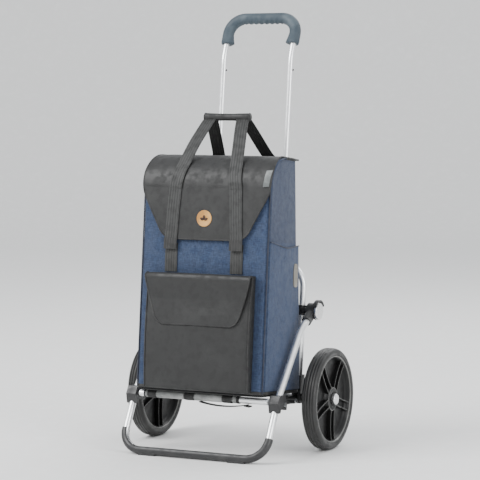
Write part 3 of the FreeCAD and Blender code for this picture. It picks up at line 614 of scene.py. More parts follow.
# %% Geometry Nodes helpers
def new_tree(name, inputs):
    tree = bpy.data.node_groups.new(name, "GeometryNodeTree")
    tree.interface.new_socket("Geometry", in_out="OUTPUT", socket_type="NodeSocketGeometry")
    for label, value in inputs.items():
        kind = {int: "Int", float: "Float", tuple: "Vector"}[type(value)]
        socket = tree.interface.new_socket(label, in_out="INPUT",
                                           socket_type="NodeSocket" + kind)
        socket.default_value = value
    return tree, tree.nodes.new("NodeGroupInput"), tree.nodes.new("NodeGroupOutput")


def node(tree, kind, links=None, **settings):
    """Add a node. links maps an input to a value or to another node's output."""
    made = tree.nodes.new(kind)
    for label, value in settings.items():
        setattr(made, label, value)
    for slot, value in (links or {}).items():
        feed(tree, made.inputs[slot], value)
    return made.outputs


def finish_tree(tree, end, geometry, material):
    real = node(tree, "GeometryNodeRealizeInstances", {0: geometry})[0]
    painted = node(tree, "GeometryNodeSetMaterial", {0: real, "Material": material})
    tree.links.new(painted[0], end.inputs[0])


def run_tree(name, tree, values, bevel=0.0, mesh=None):
    """Evaluate a tree with its inputs set and keep the result as a plain mesh."""
    made = add_object(name, mesh or bpy.data.meshes.new(name))
    live = made.modifiers.new("nodes", "NODES")
    live.node_group = tree
    for item in tree.interface.items_tree:
        if item.in_out == "INPUT" and item.name in values:
            live[item.identifier] = values[item.name]
    if bevel:
        edge = made.modifiers.new("edge", "BEVEL")
        edge.width = bevel
        edge.segments = 2
    return bake_modifiers(made)


# %% [markdown]
# The rib tree makes one rib as a thin block, lowers its edge in the middle so that it is dished,
# sets a pair side by side, and turns the pair around the hub. Pairs, spacing and depths are its
# inputs, so another wheel needs no new tree.

# %% Rib tree
ribs, start, end = new_tree("wheel_ribs", {
    "Pairs": 5, "Spacing": 0.02, "Wall": 0.0028, "Depth": 0.0275, "Inner": 0.028,
    "Outer": 0.1015, "Dish": 0.12, "Centre": (0.0, 0.0, 0.0)})
give = {socket.name: socket for socket in start.outputs}


def sums(kind, a, b=0.0):
    return node(ribs, "ShaderNodeMath", {0: a, 1: b}, operation=kind)[0]


length = sums("SUBTRACT", give["Outer"], give["Inner"])
size = node(ribs, "ShaderNodeCombineXYZ", {0: give["Depth"], 1: give["Wall"], 2: length})[0]
block = node(ribs, "GeometryNodeMeshCube", {"Size": size, "Vertices Z": 12})[0]
place = node(ribs, "GeometryNodeInputPosition")[0]
split = node(ribs, "ShaderNodeSeparateXYZ", {0: place})
share = sums("DIVIDE", split[2], length)
bow = sums("COSINE", sums("MULTIPLY", share, pi))
thin = sums("SUBTRACT", 1.0, sums("MULTIPLY", bow, give["Dish"]))
dished = node(ribs, "ShaderNodeCombineXYZ",
              {0: sums("MULTIPLY", split[0], thin), 1: split[1], 2: split[2]})[0]
rib = node(ribs, "GeometryNodeSetPosition", {"Geometry": block, "Position": dished})[0]
drop = sums("MULTIPLY", sums("ADD", give["Outer"], give["Inner"]), -0.5)
both = node(ribs, "GeometryNodeJoinGeometry")
for side in (0.5, -0.5):
    beside = sums("MULTIPLY", give["Spacing"], side)
    shift = node(ribs, "ShaderNodeCombineXYZ", {1: beside, 2: drop})[0]
    moved = node(ribs, "GeometryNodeTransform", {"Geometry": rib, "Translation": shift})[0]
    ribs.links.new(moved, both[0].node.inputs[0])
turn = sums("DIVIDE", 2 * pi, give["Pairs"])
angle = sums("MULTIPLY", node(ribs, "GeometryNodeInputIndex")[0], turn)
spin = node(ribs, "ShaderNodeCombineXYZ", {0: angle})[0]
spots = node(ribs, "GeometryNodePoints", {"Count": give["Pairs"]})[0]
around = node(ribs, "GeometryNodeInstanceOnPoints",
              {"Points": spots, "Instance": both[0], "Rotation": spin})[0]
settled = node(ribs, "GeometryNodeTransform", {"Geometry": around, "Translation": give["Centre"]})
finish_tree(ribs, end, settled[0], rim_plastic)
print("rib tree has", len(ribs.nodes), "nodes")

# %% Both wheels
def is_painted_highlight_edge(face, centre):
    """The ribs' outer edges and the rim's lip get a lighter plastic as a painted highlight."""
    beside = abs(face.center.x - centre.x)
    high = (face.center - centre).length
    on_rib = beside > 11 * MM and abs(face.normal.x) > 0.8 and face.area < 4e-6
    on_lip = beside > 15 * MM and 103 * MM < high < 107.5 * MM
    return (on_rib and high > 30 * MM) or on_lip


for side, sign in SIDES:
    centre = Vector((sign * AXLE.x, AXLE.y, AXLE.z))
    tyre = lathe("grooved_tyre_" + side, tyre_profile, centre, rubber, 128)
    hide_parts("tyre_" + side)
    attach(tyre, "wheel_" + side)
    dish = lathe("dish_" + side, rim_profile, centre, rim_plastic, 128)
    spokes = run_tree("ribs_" + side, ribs, {"Centre": tuple(centre)}, bevel=0.0007)
    spokes.data.polygons.foreach_set("use_smooth", [False] * len(spokes.data.polygons))
    rim = join("ribbed_rim_" + side, [dish, spokes])
    # Rib edges and the lip take the painted highlight finish.
    rim.data.materials.append(highlight_edge_finish)
    for face in rim.data.polygons:
        if is_painted_highlight_edge(face, centre):
            face.material_index = len(rim.data.materials) - 1
    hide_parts("rim_" + side)
    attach(rim, "wheel_" + side)
    print(rim.name, len(rim.data.polygons), "faces")

# %% [markdown]
# The bag is a soft shell that keeps its shape only because it is sewn to a stiff base and hangs
# from the frame. It is lofted from rounded rings, level by level. The panels swell a little
# between their seams and the cloth has slow wrinkles, which smooth noise gives. The back never
# swells, because the frame tubes are there. A wall and a lining come from Solidify.

# %% Bag surface
CORNER_BACK = 22 * MM
CORNER_FRONT = 11 * MM
ROUND_TOP = 80 * MM
EDGE_UP = BAG_TALL + 0.4 * MM - ROUND_TOP
FLAP_AHEAD = BAG_DEPTH + 2.8 * MM


def soft_noise(x, ahead, up, size):
    return noise.noise(Vector((x / size + 31, ahead / size + 17, up / size + 5)))


def front_limit(up):
    """The rounded top edge that the flap lies over."""
    if up <= EDGE_UP:
        return BAG_DEPTH
    under = ROUND_TOP - 1.2 * MM
    rise = min(up - EDGE_UP, under)
    return min(BAG_DEPTH, FLAP_AHEAD - ROUND_TOP + sqrt(under ** 2 - rise ** 2))


def half_back(up):
    return BAG_HALF + (BAG_HALF_TOP - BAG_HALF) * up / BAG_TALL


def side_x(ahead, up, proud=0.0):
    """The side panel, swelling between its seams."""
    share = clamp(ahead / BAG_DEPTH)
    base = half_back(up) + (BAG_FRONT_HALF - half_back(up)) * share
    swell = 3.2 * MM * arch(share) * arch(min(1, up / BAG_TALL)) ** 0.6
    fold = 1.6 * MM * soft_noise(0, ahead, up, 0.075) + 0.7 * MM * soft_noise(3, ahead, up, 0.03)
    return base + swell + fold * arch(share) + proud


def bag_ring(up, inset=0.0):
    """Points (x, ahead) around one level, from the middle of the back."""
    back = half_back(up) - inset
    front = BAG_FRONT_HALF - inset
    deep = front_limit(up) - inset
    right = [(back * share, inset) for share in (0, 0.25, 0.5, 0.72)]
    right += [(back - CORNER_BACK + CORNER_BACK * sin(a),
               inset + CORNER_BACK - CORNER_BACK * cos(a)) for a in quarter_turn(6)]
    right += [(side_x(ahead, up, -inset), ahead)
              for ahead in evenly(inset + CORNER_BACK, deep - CORNER_FRONT, 32)[1:-1]]
    right += [(front - CORNER_FRONT + CORNER_FRONT * cos(a),
               deep - CORNER_FRONT + CORNER_FRONT * sin(a)) for a in quarter_turn(6)]
    right += [(x, deep + front_swell(x, up))
              for x in evenly(front - CORNER_FRONT, 0, 24)[1:]]
    return right + [(-x, ahead) for x, ahead in reversed(right[1:-1])]


def at_level(ring, up):
    return [bag_point(x, ahead, up) for x, ahead in ring]


BULGE_LOW = 285 * MM
BULGE_TALL = 84 * MM


def front_swell(x, up):
    """The front bows out between its corners where neither pocket nor flap holds it."""
    free = max(0, arch(clamp((up - BULGE_LOW) / BULGE_TALL)))
    across = dome(x, BAG_FRONT_HALF)
    return free * across * 1.6 * MM - 0.8 * MM * abs(soft_noise(x, 0, up, 0.06)) * across


LEVELS = 72
BASE_UP = 3 * MM
BAG_WALL = 2.4 * MM
rings = [at_level(bag_ring(up * MM, inset * MM), up * MM)
         for inset, up in ((9, 0.4), (3, 0.6), (0.8, 1.6))]
rings += [at_level(bag_ring(up), up) for up in evenly(BASE_UP, BAG_TALL, LEVELS)]
shell = loft("bag_cloth", rings, blue_cloth, caps=False)
shell.data.materials.append(lining)
close_bottom(shell, bag_point(0, BAG_DEPTH / 2, BAG_TALL / 2))
wall = shell.modifiers.new("wall", "SOLIDIFY")
wall.thickness = BAG_WALL
wall.offset = -1
wall.material_offset = 1
wall.material_offset_rim = 1
bake_modifiers(shell)
print("bag shell:", len(shell.data.polygons), "faces")

# %% [markdown]
# One function takes every soft piece: it hides the CAD solids that the piece stands for, attaches
# the piece to the body it rides on and gives it its own mesh.


def soft_goods(made, body, stands_for=()):
    if stands_for:
        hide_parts(*stands_for)
    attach(made, body)
    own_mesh(made)
    return made


soft_goods(shell, "root", ["bag_shell"])
# The side faces above the pocket take the darker blue as painted shade.
shell.data.materials.append(blue_painted_shade)
SHADED_SIDE_UP = 362 * MM
for face in shell.data.polygons:
    if (face.material_index == 0 and abs(face.normal.x) > 0.8
            and bag_up(face.center) > SHADED_SIDE_UP):
        face.material_index = 2

# %% [markdown]
# Seams show as piping: a thin cord sewn into the edge. Straps are flat ribbons that need their own
# UV map, because the ribs of webbing run along the strap, wherever it goes.

# %% Piping, ribbons and stitches
def piping_line(name, points, material, radius=1.6 * MM, closed=False):
    facing = Vector((0.3, -0.8, 0.52)).normalized()
    return sweep(name, points, round_section(radius), material, facing, closed)


def ribbon(name, spots, width, wall, material):
    """A flat strap through (centre, across) pairs."""
    shares = evenly(0, 1, 8)
    rows, uvs = [], []
    run = 0.0
    before = spots[0][0]
    for centre, across in spots:
        run += (centre - before).length
        before = centre
        rows.append([centre + across * width * (share - 0.5) for share in shares])
        uvs += [(share, run) for share in shares]
    made = sheet(name, rows, material)
    layer = made.data.uv_layers.new(name="strap")
    for loop in made.data.loops:
        layer.data[loop.index].uv = uvs[loop.vertex_index]
    return thicken(made, wall, 0.0)


stitches, start, end = new_tree("stitch_row", {
    "Pitch": 0.0045, "Length": 0.0030, "Thick": 0.0009})
stitches.interface.new_socket("Line", in_out="INPUT", socket_type="NodeSocketGeometry")
give = {socket.name: socket for socket in start.outputs}
curve = node(stitches, "GeometryNodeMeshToCurve", {0: give["Line"]})[0]
even = node(stitches, "GeometryNodeResampleCurve", {"Curve": curve, "Length": give["Pitch"]},
            mode="LENGTH")[0]
ball = node(stitches, "GeometryNodeMeshUVSphere", {"Segments": 6, "Rings": 4, "Radius": 0.5})[0]
stretch = node(stitches, "ShaderNodeCombineXYZ",
               {0: give["Thick"], 1: give["Thick"], 2: give["Length"]})[0]
along = node(stitches, "GeometryNodeInputTangent")[0]
aimed = node(stitches, "FunctionNodeAlignRotationToVector", {"Vector": along}, axis="Z")[0]
placed = node(stitches, "GeometryNodeInstanceOnPoints",
              {"Points": even, "Instance": ball, "Rotation": aimed, "Scale": stretch})[0]
finish_tree(stitches, end, placed, thread)


def stitch(name, points, pitch=4.5 * MM, length=3.0 * MM, thick=0.9 * MM):
    """Sew one row of stitches along a line of points."""
    line = bpy.data.meshes.new(name)
    line.from_pydata([tuple(p) for p in points], [(i, i + 1) for i in range(len(points) - 1)], [])
    return run_tree(name, stitches, {"Pitch": pitch, "Length": length, "Thick": thick}, mesh=line)


print("stitch tree has", len(stitches.nodes), "nodes")

# %% [markdown]
# The bag's seams come next: piping down both front corners, a dark binding around the base, a
# binding around the mouth, and a row of stitches on either side of each front seam.

# %% Bag seams
seams = []
seam_ups = evenly(4 * MM, EDGE_UP - 2 * MM, 60)
for sign in (1, -1):
    edge = (BAG_FRONT_HALF - 1.5 * MM) * sign
    seams.append(piping_line("seam", [bag_point(edge, BAG_DEPTH - 1.2 * MM, up) for up in seam_ups],
                             piping, 1.9 * MM))
    beside = BAG_DEPTH - 17 * MM
    seams.append(stitch("row", [bag_point(side_x(beside, up, 0.1 * MM) * sign, beside, up)
                                for up in seam_ups]))
    seams.append(stitch("row", [bag_point((BAG_FRONT_HALF - 15 * MM) * sign,
                                          BAG_DEPTH + 0.2 * MM, up) for up in seam_ups]))


def binding_band(name, low, high, proud, material):
    """A tape around the whole bag between two levels."""
    section = []
    centre = Vector((0, BAG_DEPTH / 2))
    for up, out in ((low, 0.2 * MM), (low, proud), (high, proud), (high, 0.2 * MM)):
        spots = [Vector(spot) for spot in bag_ring(up)]
        pushed = [spot + (spot - centre).normalized() * out for spot in spots]
        section.append(at_level(pushed, up))
    return loft(name, section + section[:1], material, caps=False)


seams.append(binding_band("base_tape", 0.6 * MM, 9 * MM, 1.3 * MM, binding))
mouth = at_level(bag_ring(BAG_TALL, 1.2 * MM), BAG_TALL - 1.6 * MM)
seams.append(piping_line("mouth_tape", mouth, binding, 1.8 * MM, closed=True))
bag_seams = join("bag_seams", seams)
soft_goods(bag_seams, "root")
print("seams:", len(bag_seams.data.polygons), "faces")

# %% [markdown]
# Each side has an open pocket from the base to nearly two thirds of the height. Its hem pulls tight and
# sags at the back, and the cloth above it gathers in small folds. It is a sheet of cloth that
# stands a little off the side panel, so its grid follows the same side surface.

# %% Side pockets and reflective patches
def hem_up(ahead):
    share = ahead / BAG_DEPTH
    return (361 - 9 * arch(share) ** 2 + 4 * share) * MM


def pocket_proud(ahead, up):
    share = clamp((ahead - 6 * MM) / (BAG_DEPTH - 14 * MM))
    fade = arch(share) ** 0.5
    near = max(0, 1 - abs(up - hem_up(ahead)) / (120 * MM))
    gather = soft_noise(0, ahead * 3, up, 0.045) * near
    return (0.9 + fade * (2.2 + 1.3 * near + 1.6 * gather)) * MM


def on_pocket(sign, ahead, up, out=0.0):
    """A point on the side pocket's cloth, or a little out from it."""
    return bag_point(sign * side_x(ahead, up, pocket_proud(ahead, up) + out), ahead, up)


PATCH_AHEAD, PATCH_UP = 38.5 * MM, 288 * MM
PATCH_HALF, PATCH_HALF_TALL = 16.5 * MM, 29 * MM
POCKET_LOW = 10 * MM


def patch_on_pocket(sign):
    """A rounded patch that lies on the side pocket near the back edge."""
    rings = []
    for scale, out in ((1.0, 0.2), (1.0, 1.5), (0.93, 1.9), (0.5, 1.9), (0.05, 1.9)):
        rings.append([on_pocket(sign, PATCH_AHEAD + PATCH_HALF * squared(cos(a), 0.5) * scale,
                                PATCH_UP + PATCH_HALF_TALL * squared(sin(a), 0.5) * scale,
                                out * MM) for a in full_turn(48)])
    return loft("patch", rings, reflective)


aheads = evenly(8 * MM, BAG_DEPTH - 8 * MM, 64)
for side, sign in SIDES:
    rows = [[on_pocket(sign, a, POCKET_LOW + (hem_up(a) - POCKET_LOW) * share)
             for a in aheads[::sign]] for share in evenly(0, 1, 60)]
    cloth = thicken(sheet("pocket", rows, blue_cloth), 1.2 * MM, 1.0)
    hem = piping_line("hem", [on_pocket(sign, a, hem_up(a), 0.7 * MM) for a in aheads], piping,
                      1.5 * MM)
    sewn = stitch("row", [on_pocket(sign, a, hem_up(a) - 11 * MM, 1.3 * MM) for a in aheads])
    side_pocket = join("side_pocket_" + side, [cloth, hem, sewn])
    soft_goods(side_pocket, "root")
    patch = patch_on_pocket(sign)
    patch.name = "reflective_patch_" + side
    soft_goods(patch, "root")
print("side pockets made")

# %% [markdown]
# The front pocket is a smaller bag on the front of the big one: a box of coated black cloth with a
# gusset that is deepest at mid height. Its lid falls over the front and narrows like an envelope.

# %% Front pocket
POCKET_HALF = 140 * MM
POCKET_TALL = 280 * MM
POCKET_BACK = BAG_DEPTH + 0.6 * MM


def pocket_front(x, up):
    """How far ahead the pocket's front face is."""
    share = clamp(up / POCKET_TALL)
    deep = 17 + 13 * arch(min(1, 0.12 + share * 0.80)) ** 0.8
    bow = dome(x, POCKET_HALF) ** 0.7
    dent = 1.5 * soft_noise(x, 0, up, 0.07) + 0.6 * soft_noise(x, 9, up, 0.025)
    return POCKET_BACK + (deep - 3.5 + 3.2 * bow + dent * bow) * MM


def pocket_ring(up, inset=0.0):
    half = POCKET_HALF - inset
    deep = pocket_front(half, up) - inset
    back = POCKET_BACK + min(inset, 2 * MM)
    soft = 7 * MM
    right = [(x * half, back) for x in (0, 0.33, 0.66, 1.0)]
    mid = (back + deep) / 2
    right.append((half + 1.2 * MM, mid))
    right += [(half - soft + soft * cos(a), deep - soft + soft * sin(a))
              for a in quarter_turn(5)]
    right += [(x, max(deep, pocket_front(x, up) - inset)) for x in evenly(half - soft, 0, 24)[1:]]
    return right + [(-x, ahead) for x, ahead in reversed(right[1:-1])]


levels = [(12, 3), (4, 3.4), (1, 5)] + [(0, up) for up in evenly(9, POCKET_TALL / MM, 56)]
rings = [at_level(pocket_ring(up * MM, inset * MM), up * MM) for inset, up in levels]
box = loft("pocket_cloth", rings, black_cloth, caps=False)
close_bottom(box, bag_point(0, POCKET_BACK + 10 * MM, POCKET_TALL / 2))
thicken(box, 1.6 * MM)
trims = [box]
ROW_X = POCKET_HALF - 12 * MM
for sign in (1, -1):
    edge = [bag_point(sign * (POCKET_HALF - 1.6 * MM), pocket_front(POCKET_HALF, up * MM) - 1.2 * MM,
                      up * MM) for up in range(6, 279, 4)]
    trims.append(piping_line("edge", edge, binding, 1.7 * MM))
    row = [bag_point(sign * ROW_X, pocket_front(ROW_X, up * MM) + 0.2 * MM, up * MM)
           for up in range(10, 279, 4)]
    trims.append(stitch("row", row))
rim_line = at_level(pocket_ring(POCKET_TALL, 0.8 * MM), POCKET_TALL)
trims.append(piping_line("rim", rim_line, binding, 1.5 * MM, closed=True))
front_pocket = join("front_pocket_cloth", trims)
soft_goods(front_pocket, "root", ["front_pocket"])
print("front pocket:", len(front_pocket.data.polygons), "faces")

# %% [markdown]
# Both flaps are made the same way: a grid that follows a profile from the hinge over the rounded
# edge and down the front, with a half width for every place along it. The border gets a folded
# binding and one or two rows of stitches, which is how a raw edge of coated cloth is closed.


# %% Flap helper
def flap_cloth(name, rows, surface, columns, material, wall):
    """rows are (place along the profile, half width). surface(x, place) gives a point."""
    grid = [[surface(share * half, place) for share in evenly(-1, 1, columns)]
            for place, half in rows]
    return thicken(sheet(name, grid, material, flip=True), wall, 1.0)


def corner_cut(left, corner):
    """How much a rounded corner takes off a flap's half width, this far from its end."""
    if left >= corner:
        return 0
    return corner - sqrt(max(0, corner ** 2 - (corner - left) ** 2))


def border(rows, surface, inset, lift):
    """The line a little inside a flap's sides and lower edge."""
    left = [surface(-max(half - inset, 0), place, lift) for place, half in rows]
    right = [surface(max(half - inset, 0), place, lift) for place, half in reversed(rows)]
    return left + right


def under_end(rows, inset, end_place):
    """Rows that stop short of the lower edge by the inset."""
    return [(place, half) for place, half in rows if place <= end_place - inset]


# %% Pocket flap
LID_UP = POCKET_TALL + 1.3 * MM
LID_LONG = 24 * MM
LID_TURN = 9 * MM
LID_CORNER = 20 * MM
LID_SEAM = 7 * MM


def lid_surface(x, place, lift=0.0):
    """place runs from the hinge ahead over the pocket and then down its front."""
    front = POCKET_BACK + LID_LONG + LID_TURN
    if place < LID_LONG:
        ahead, up, out, rise = POCKET_BACK + place, LID_UP, 0, 1
    elif place < LID_LONG + LID_TURN * pi / 2:
        a = (place - LID_LONG) / LID_TURN
        ahead = POCKET_BACK + LID_LONG + LID_TURN * sin(a)
        up = LID_UP - LID_TURN + LID_TURN * cos(a)
        out, rise = sin(a), cos(a)
    else:
        up = LID_UP - LID_TURN - (place - LID_LONG - LID_TURN * pi / 2)
        rest = max(pocket_front(x, up), pocket_front(x * 0.97, up + 4 * MM)) + 1.1 * MM
        blend = min(1, (LID_UP - LID_TURN - up) / (50 * MM))
        ahead, out, rise = front + (max(rest, front - 4 * MM) - front) * blend, 1, 0
    crown = 1.4 * MM * dome(x, POCKET_HALF)
    crown *= min(1, place / (20 * MM))
    lift += crown * (1 if place < LID_LONG + LID_TURN else 0.4)
    return bag_point(x, ahead + out * lift, up + rise * lift)


LID_DOWN = LID_LONG + LID_TURN * pi / 2
LID_END = LID_DOWN + LID_UP - LID_TURN - 160 * MM


def lid_half(place):
    if place <= LID_DOWN:
        return POCKET_HALF
    share = (place - LID_DOWN) / (LID_END - LID_DOWN)
    return POCKET_HALF - 33 * MM * share ** 1.15 - corner_cut(LID_END - place, LID_CORNER)


lid_places = [LID_DOWN * n / 12 for n in range(12)]
lid_places += [LID_DOWN + (LID_END - LID_DOWN) * n / 40 for n in range(33)]
lid_places += [LID_END - LID_CORNER * (1 - sin(pi / 2 * n / 10)) ** 1.5 for n in range(3, 11)]
lid_places = sorted(set(lid_places))
lid_rows = [(place, lid_half(place)) for place in lid_places]
lid = flap_cloth("lid", lid_rows, lid_surface, 44, black_cloth, 1.6 * MM)
edge = piping_line("lid_edge", border(lid_rows[6:], lid_surface, 0.4 * MM, 1.1 * MM), binding,
                   2.0 * MM)
sewn = stitch("row", border(under_end(lid_rows[10:], LID_SEAM, LID_END), lid_surface, LID_SEAM,
                            2.5 * MM), 4 * MM)
pocket_lid = join("pocket_lid", [lid, edge, sewn])
soft_goods(pocket_lid, "pocket_flap", ["pocket_flap"])
print("pocket lid:", len(pocket_lid.data.polygons), "faces")

# %% [markdown]
# The cover is one cloth. It starts at the back edge, bends in a wide round over the front, and ends
# in a tongue with rounded corners. It is a grid that follows that profile, with a half width for
# every place on it, so its outline and its bend are set apart from each other.

# %% Cover surface
COVER_IN = 215.3 * MM
TURN = ROUND_TOP + 0.5 * MM
TURN_AHEAD = COVER_IN - TURN
TOP_LONG = TURN_AHEAD - 2 * MM
TOP_DOWN = TOP_LONG + TURN * pi / 2
COVER_LOW = 366 * MM
COVER_CORNER = 24 * MM
COVER_END = TOP_DOWN + EDGE_UP - COVER_LOW
TOP_IN = EDGE_UP + TURN


def cover_surface(x, place, lift=0.0):
    """place runs from the back hinge, over the rounded edge, and down the front."""
    ripple = 1.3 * MM * abs(soft_noise(x, place, 0, 0.09)) + 0.5 * MM * soft_noise(x, place, 4, 0.03)
    if place < TOP_LONG:
        rest = arch(place / TOP_LONG)
        ahead, up, out, rise = 2 * MM + place, TOP_IN, 0, 1
        across = dome(x, 150 * MM)
        lift += rest * (ripple - 3.4 * MM * across * rest)
    elif place < TOP_DOWN:
        a = (place - TOP_LONG) / TURN
        lift += 0.7 * ripple
        ahead = TURN_AHEAD + TURN * sin(a)
        up = EDGE_UP + TURN * cos(a)
        out, rise = sin(a), cos(a)
    else:
        up = EDGE_UP - (place - TOP_DOWN)
        share = (EDGE_UP - up) / (EDGE_UP - COVER_LOW)
        belly = 1.6 * MM * arch(share) + 1.4 * MM * share ** 4
        ahead, out, rise = COVER_IN + belly + ripple * sin(pi * share / 2), 1, 0
    return bag_point(x, ahead + out * lift, up + rise * lift)


SKIRT_HALVES = [(366, 110), (390, 121.5), (443, 149.5), (470, 164.5), (484, 169.5), (500, 171.3),
                (560, 172.5)]


def table_at(table, at):
    for (low, a), (high, b) in zip(table, table[1:]):
        if at <= high:
            return a + (b - a) * max(0, at - low) / (high - low)
    return table[-1][1]


def cover_half(place):
    a = min(pi / 2, max(0, place - TOP_LONG) / TURN)
    ahead = min(2 * MM + place, TURN_AHEAD) + TURN * sin(a)
    plan_half = (BAG_HALF_TOP + 1.5 * MM) + (172.5 - 144.5) * MM * min(1, ahead / BAG_DEPTH)
    up = (EDGE_UP + TURN * cos(a) - max(0, place - TOP_DOWN)) / MM
    if up > 540:
        return plan_half
    half = sum(table_at(SKIRT_HALVES, up + shift) for shift in (-7, 0, 7)) / 3 * MM
    return min(half - corner_cut(COVER_END - place, COVER_CORNER), plan_half)


cover_places = evenly(0, TOP_LONG, 40) + evenly(TOP_LONG, TOP_DOWN, 44)[1:]
cover_places += evenly(TOP_DOWN, COVER_END - COVER_CORNER, 36)[1:]
cover_places += [COVER_END - COVER_CORNER * (1 - sin(a)) for a in quarter_turn(12)[1:]]

# %% Cover cloth
COVER_WALL = 2.2 * MM
cover_rows = [(place, cover_half(place)) for place in cover_places]
trims = [flap_cloth("cloth", cover_rows, cover_surface, 56, black_cloth, COVER_WALL),
         piping_line("edge", border(cover_rows, cover_surface, 0.4 * MM, 1.1 * MM), binding,
                     2.2 * MM)]
back_edge = [cover_surface(x * MM, 0.5 * MM, 1.1 * MM) for x in range(-144, 145, 8)]
trims.append(piping_line("hinge_edge", back_edge, binding, 2.1 * MM))
for inset in (6, 10):
    line = border(under_end(cover_rows, inset * MM, COVER_END), cover_surface, inset * MM,
                  2.5 * MM)
    trims.append(stitch("row", line, 4 * MM))
cover = join("cover_cloth", trims)
soft_goods(cover, "flap_top", ["flap_top", "flap_skirt"])
print("cover:", len(cover.data.polygons), "faces")

# %% [markdown]
# Two straps of ribbed webbing run from the pocket's top, over the cover, up to the carrying grip
# and down to the back edge. They lean inwards on the way up. Each strap is cut only where it leaves
# the bag for the cover, and a dark tab hides that cut.

# %% Straps
STRAP_WIDE = 33 * MM
STRAP_WALL = 1.7 * MM
grip_low, grip_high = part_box("carry_grip")
GRIP = (grip_low + grip_high) / 2
GRIP_RADIUS = (grip_high.z - grip_low.z) / 2


def strap_x(up):
    """The strap's distance from the middle at a height on the front."""
    return (88 - 7 * clamp((up / MM - 366) / 125)) * MM


def strap_spots(sign, ups, ahead_at):
    return [(bag_point(strap_x(up) * sign, ahead_at(strap_x(up) * sign, up), up), ACROSS)
            for up in ups]


def cover_place(up):
    """Where on the cover's profile a height lies."""
    if up <= EDGE_UP:
        return TOP_DOWN + EDGE_UP - up
    return TOP_LONG + TURN * acos(min(1, (up - EDGE_UP) / TURN))


def on_cover(x, up):
    return bag_ahead(cover_surface(x, cover_place(up), COVER_WALL + STRAP_WALL / 2 + 0.5 * MM))


def on_tab(x, up):
    return on_cover(x, max(up, COVER_LOW)) + 1.6 * MM


def on_front(x, up):
    return BAG_DEPTH + front_swell(x, up) + STRAP_WALL / 2 + 0.6 * MM


def box_stitch(sign, low, high, ahead_at, half):
    """The sewn box that holds a strap's end."""
    corners = [(-half, low), (half, low), (half, high), (-half, high), (-half, low), (half, high)]
    line = []
    for (x0, u0), (x1, u1) in zip(corners, corners[1:]):
        for x, up in zip(evenly(x0, x1, 9)[:-1], evenly(u0, u1, 9)[:-1]):
            middle = strap_x(up) * sign
            line.append(bag_point(middle + x, ahead_at(middle, up) + 1.2 * MM, up))
    return stitch("box", line, 3.6 * MM, 2.6 * MM, 0.8 * MM)


for side, sign in SIDES:
    ups = [(286 + 2.6 * n) * MM for n in range(28)]
    low = ribbon("low", strap_spots(sign, ups, on_front), STRAP_WIDE, STRAP_WALL, webbing)
    sewn = box_stitch(sign, 290 * MM, 312 * MM, on_front, 12 * MM)
    lower_strap = join("lower_strap_cloth_" + side, [low, sewn])
    soft_goods(lower_strap, "root", ["lower_strap_" + side])
    tab_ups = [(341 + 3 * n) * MM for n in range(10)]
    tab = ribbon("tab", strap_spots(sign, tab_ups, on_tab), STRAP_WIDE + 1.6 * MM, 2.2 * MM,
                 webbing_dark_and_shaded)
    sewn = [box_stitch(sign, 374 * MM, 398 * MM, on_cover, 12 * MM),
            box_stitch(sign, 462 * MM, 484 * MM, on_cover, 12 * MM)]
    strap_tabs = join("strap_tab_" + side, [tab] + sewn)
    soft_goods(strap_tabs, "flap_top")
    print("strap tab", side, len(strap_tabs.data.polygons))

# %% [markdown]
# The carrying straps stand up from the cover's edge to the grip and come down at the back. A
# smooth line through a few points makes them bow a little, as stiff webbing does. The grip is a
# padded wrap of black cloth around them: a crowned roll with slack folds and a sewn seam.

# %% Carrying straps and grip
grip_ahead, grip_up = bag_ahead(GRIP), bag_up(GRIP)
for side, sign in SIDES:
    front = []
    for angle in (0, 10, 20, 30, 40):
        turn = radians(angle)
        out = TURN + COVER_WALL + STRAP_WALL / 2 + (1.6 + angle / 40) * MM
        front.append((81 - angle * 0.25, (TURN_AHEAD + out * cos(turn)) / MM,
                      (EDGE_UP + out * sin(turn)) / MM))
    front += [(61, 170, 598), (51, 142, 638), (45, grip_ahead / MM + 8, grip_up / MM - 7),
              (44, grip_ahead / MM, grip_up / MM - 3)]
    back = [(44, grip_ahead / MM, grip_up / MM - 4), (46, grip_ahead / MM - 8, grip_up / MM - 8),
            (54, 72, 632), (65, 26, 590), (70, 11, 579), (71, 5, 578)]
    rise = evenly(362 * MM, EDGE_UP, 44)[:-1]
    parts = []
    # The rear run is the same strap as the front run; its black webbing is painted shade on the strap's
    # underside.
    for label, points, cloth in (("front", front, webbing), ("rear", back, webbing_dark_and_shaded)):
        line = smooth_line([bag_point(x * MM * sign, a * MM, u * MM) for x, a, u in points], 8)
        spots = strap_spots(sign, rise, on_cover) if label == "front" else []
        for n, spot in enumerate(line):
            way = (line[min(n + 1, len(line) - 1)] - line[max(n - 1, 0)]).normalized()
            across = (ACROSS - way * way.x).normalized()
            spots.append((spot, across))
        parts.append(ribbon(label, spots, STRAP_WIDE, STRAP_WALL, cloth))
    carry = join("carry_strap_cloth_" + side, parts)
    soft_goods(carry, "flap_top", ["carry_strap_" + side, "front_strap_" + side])

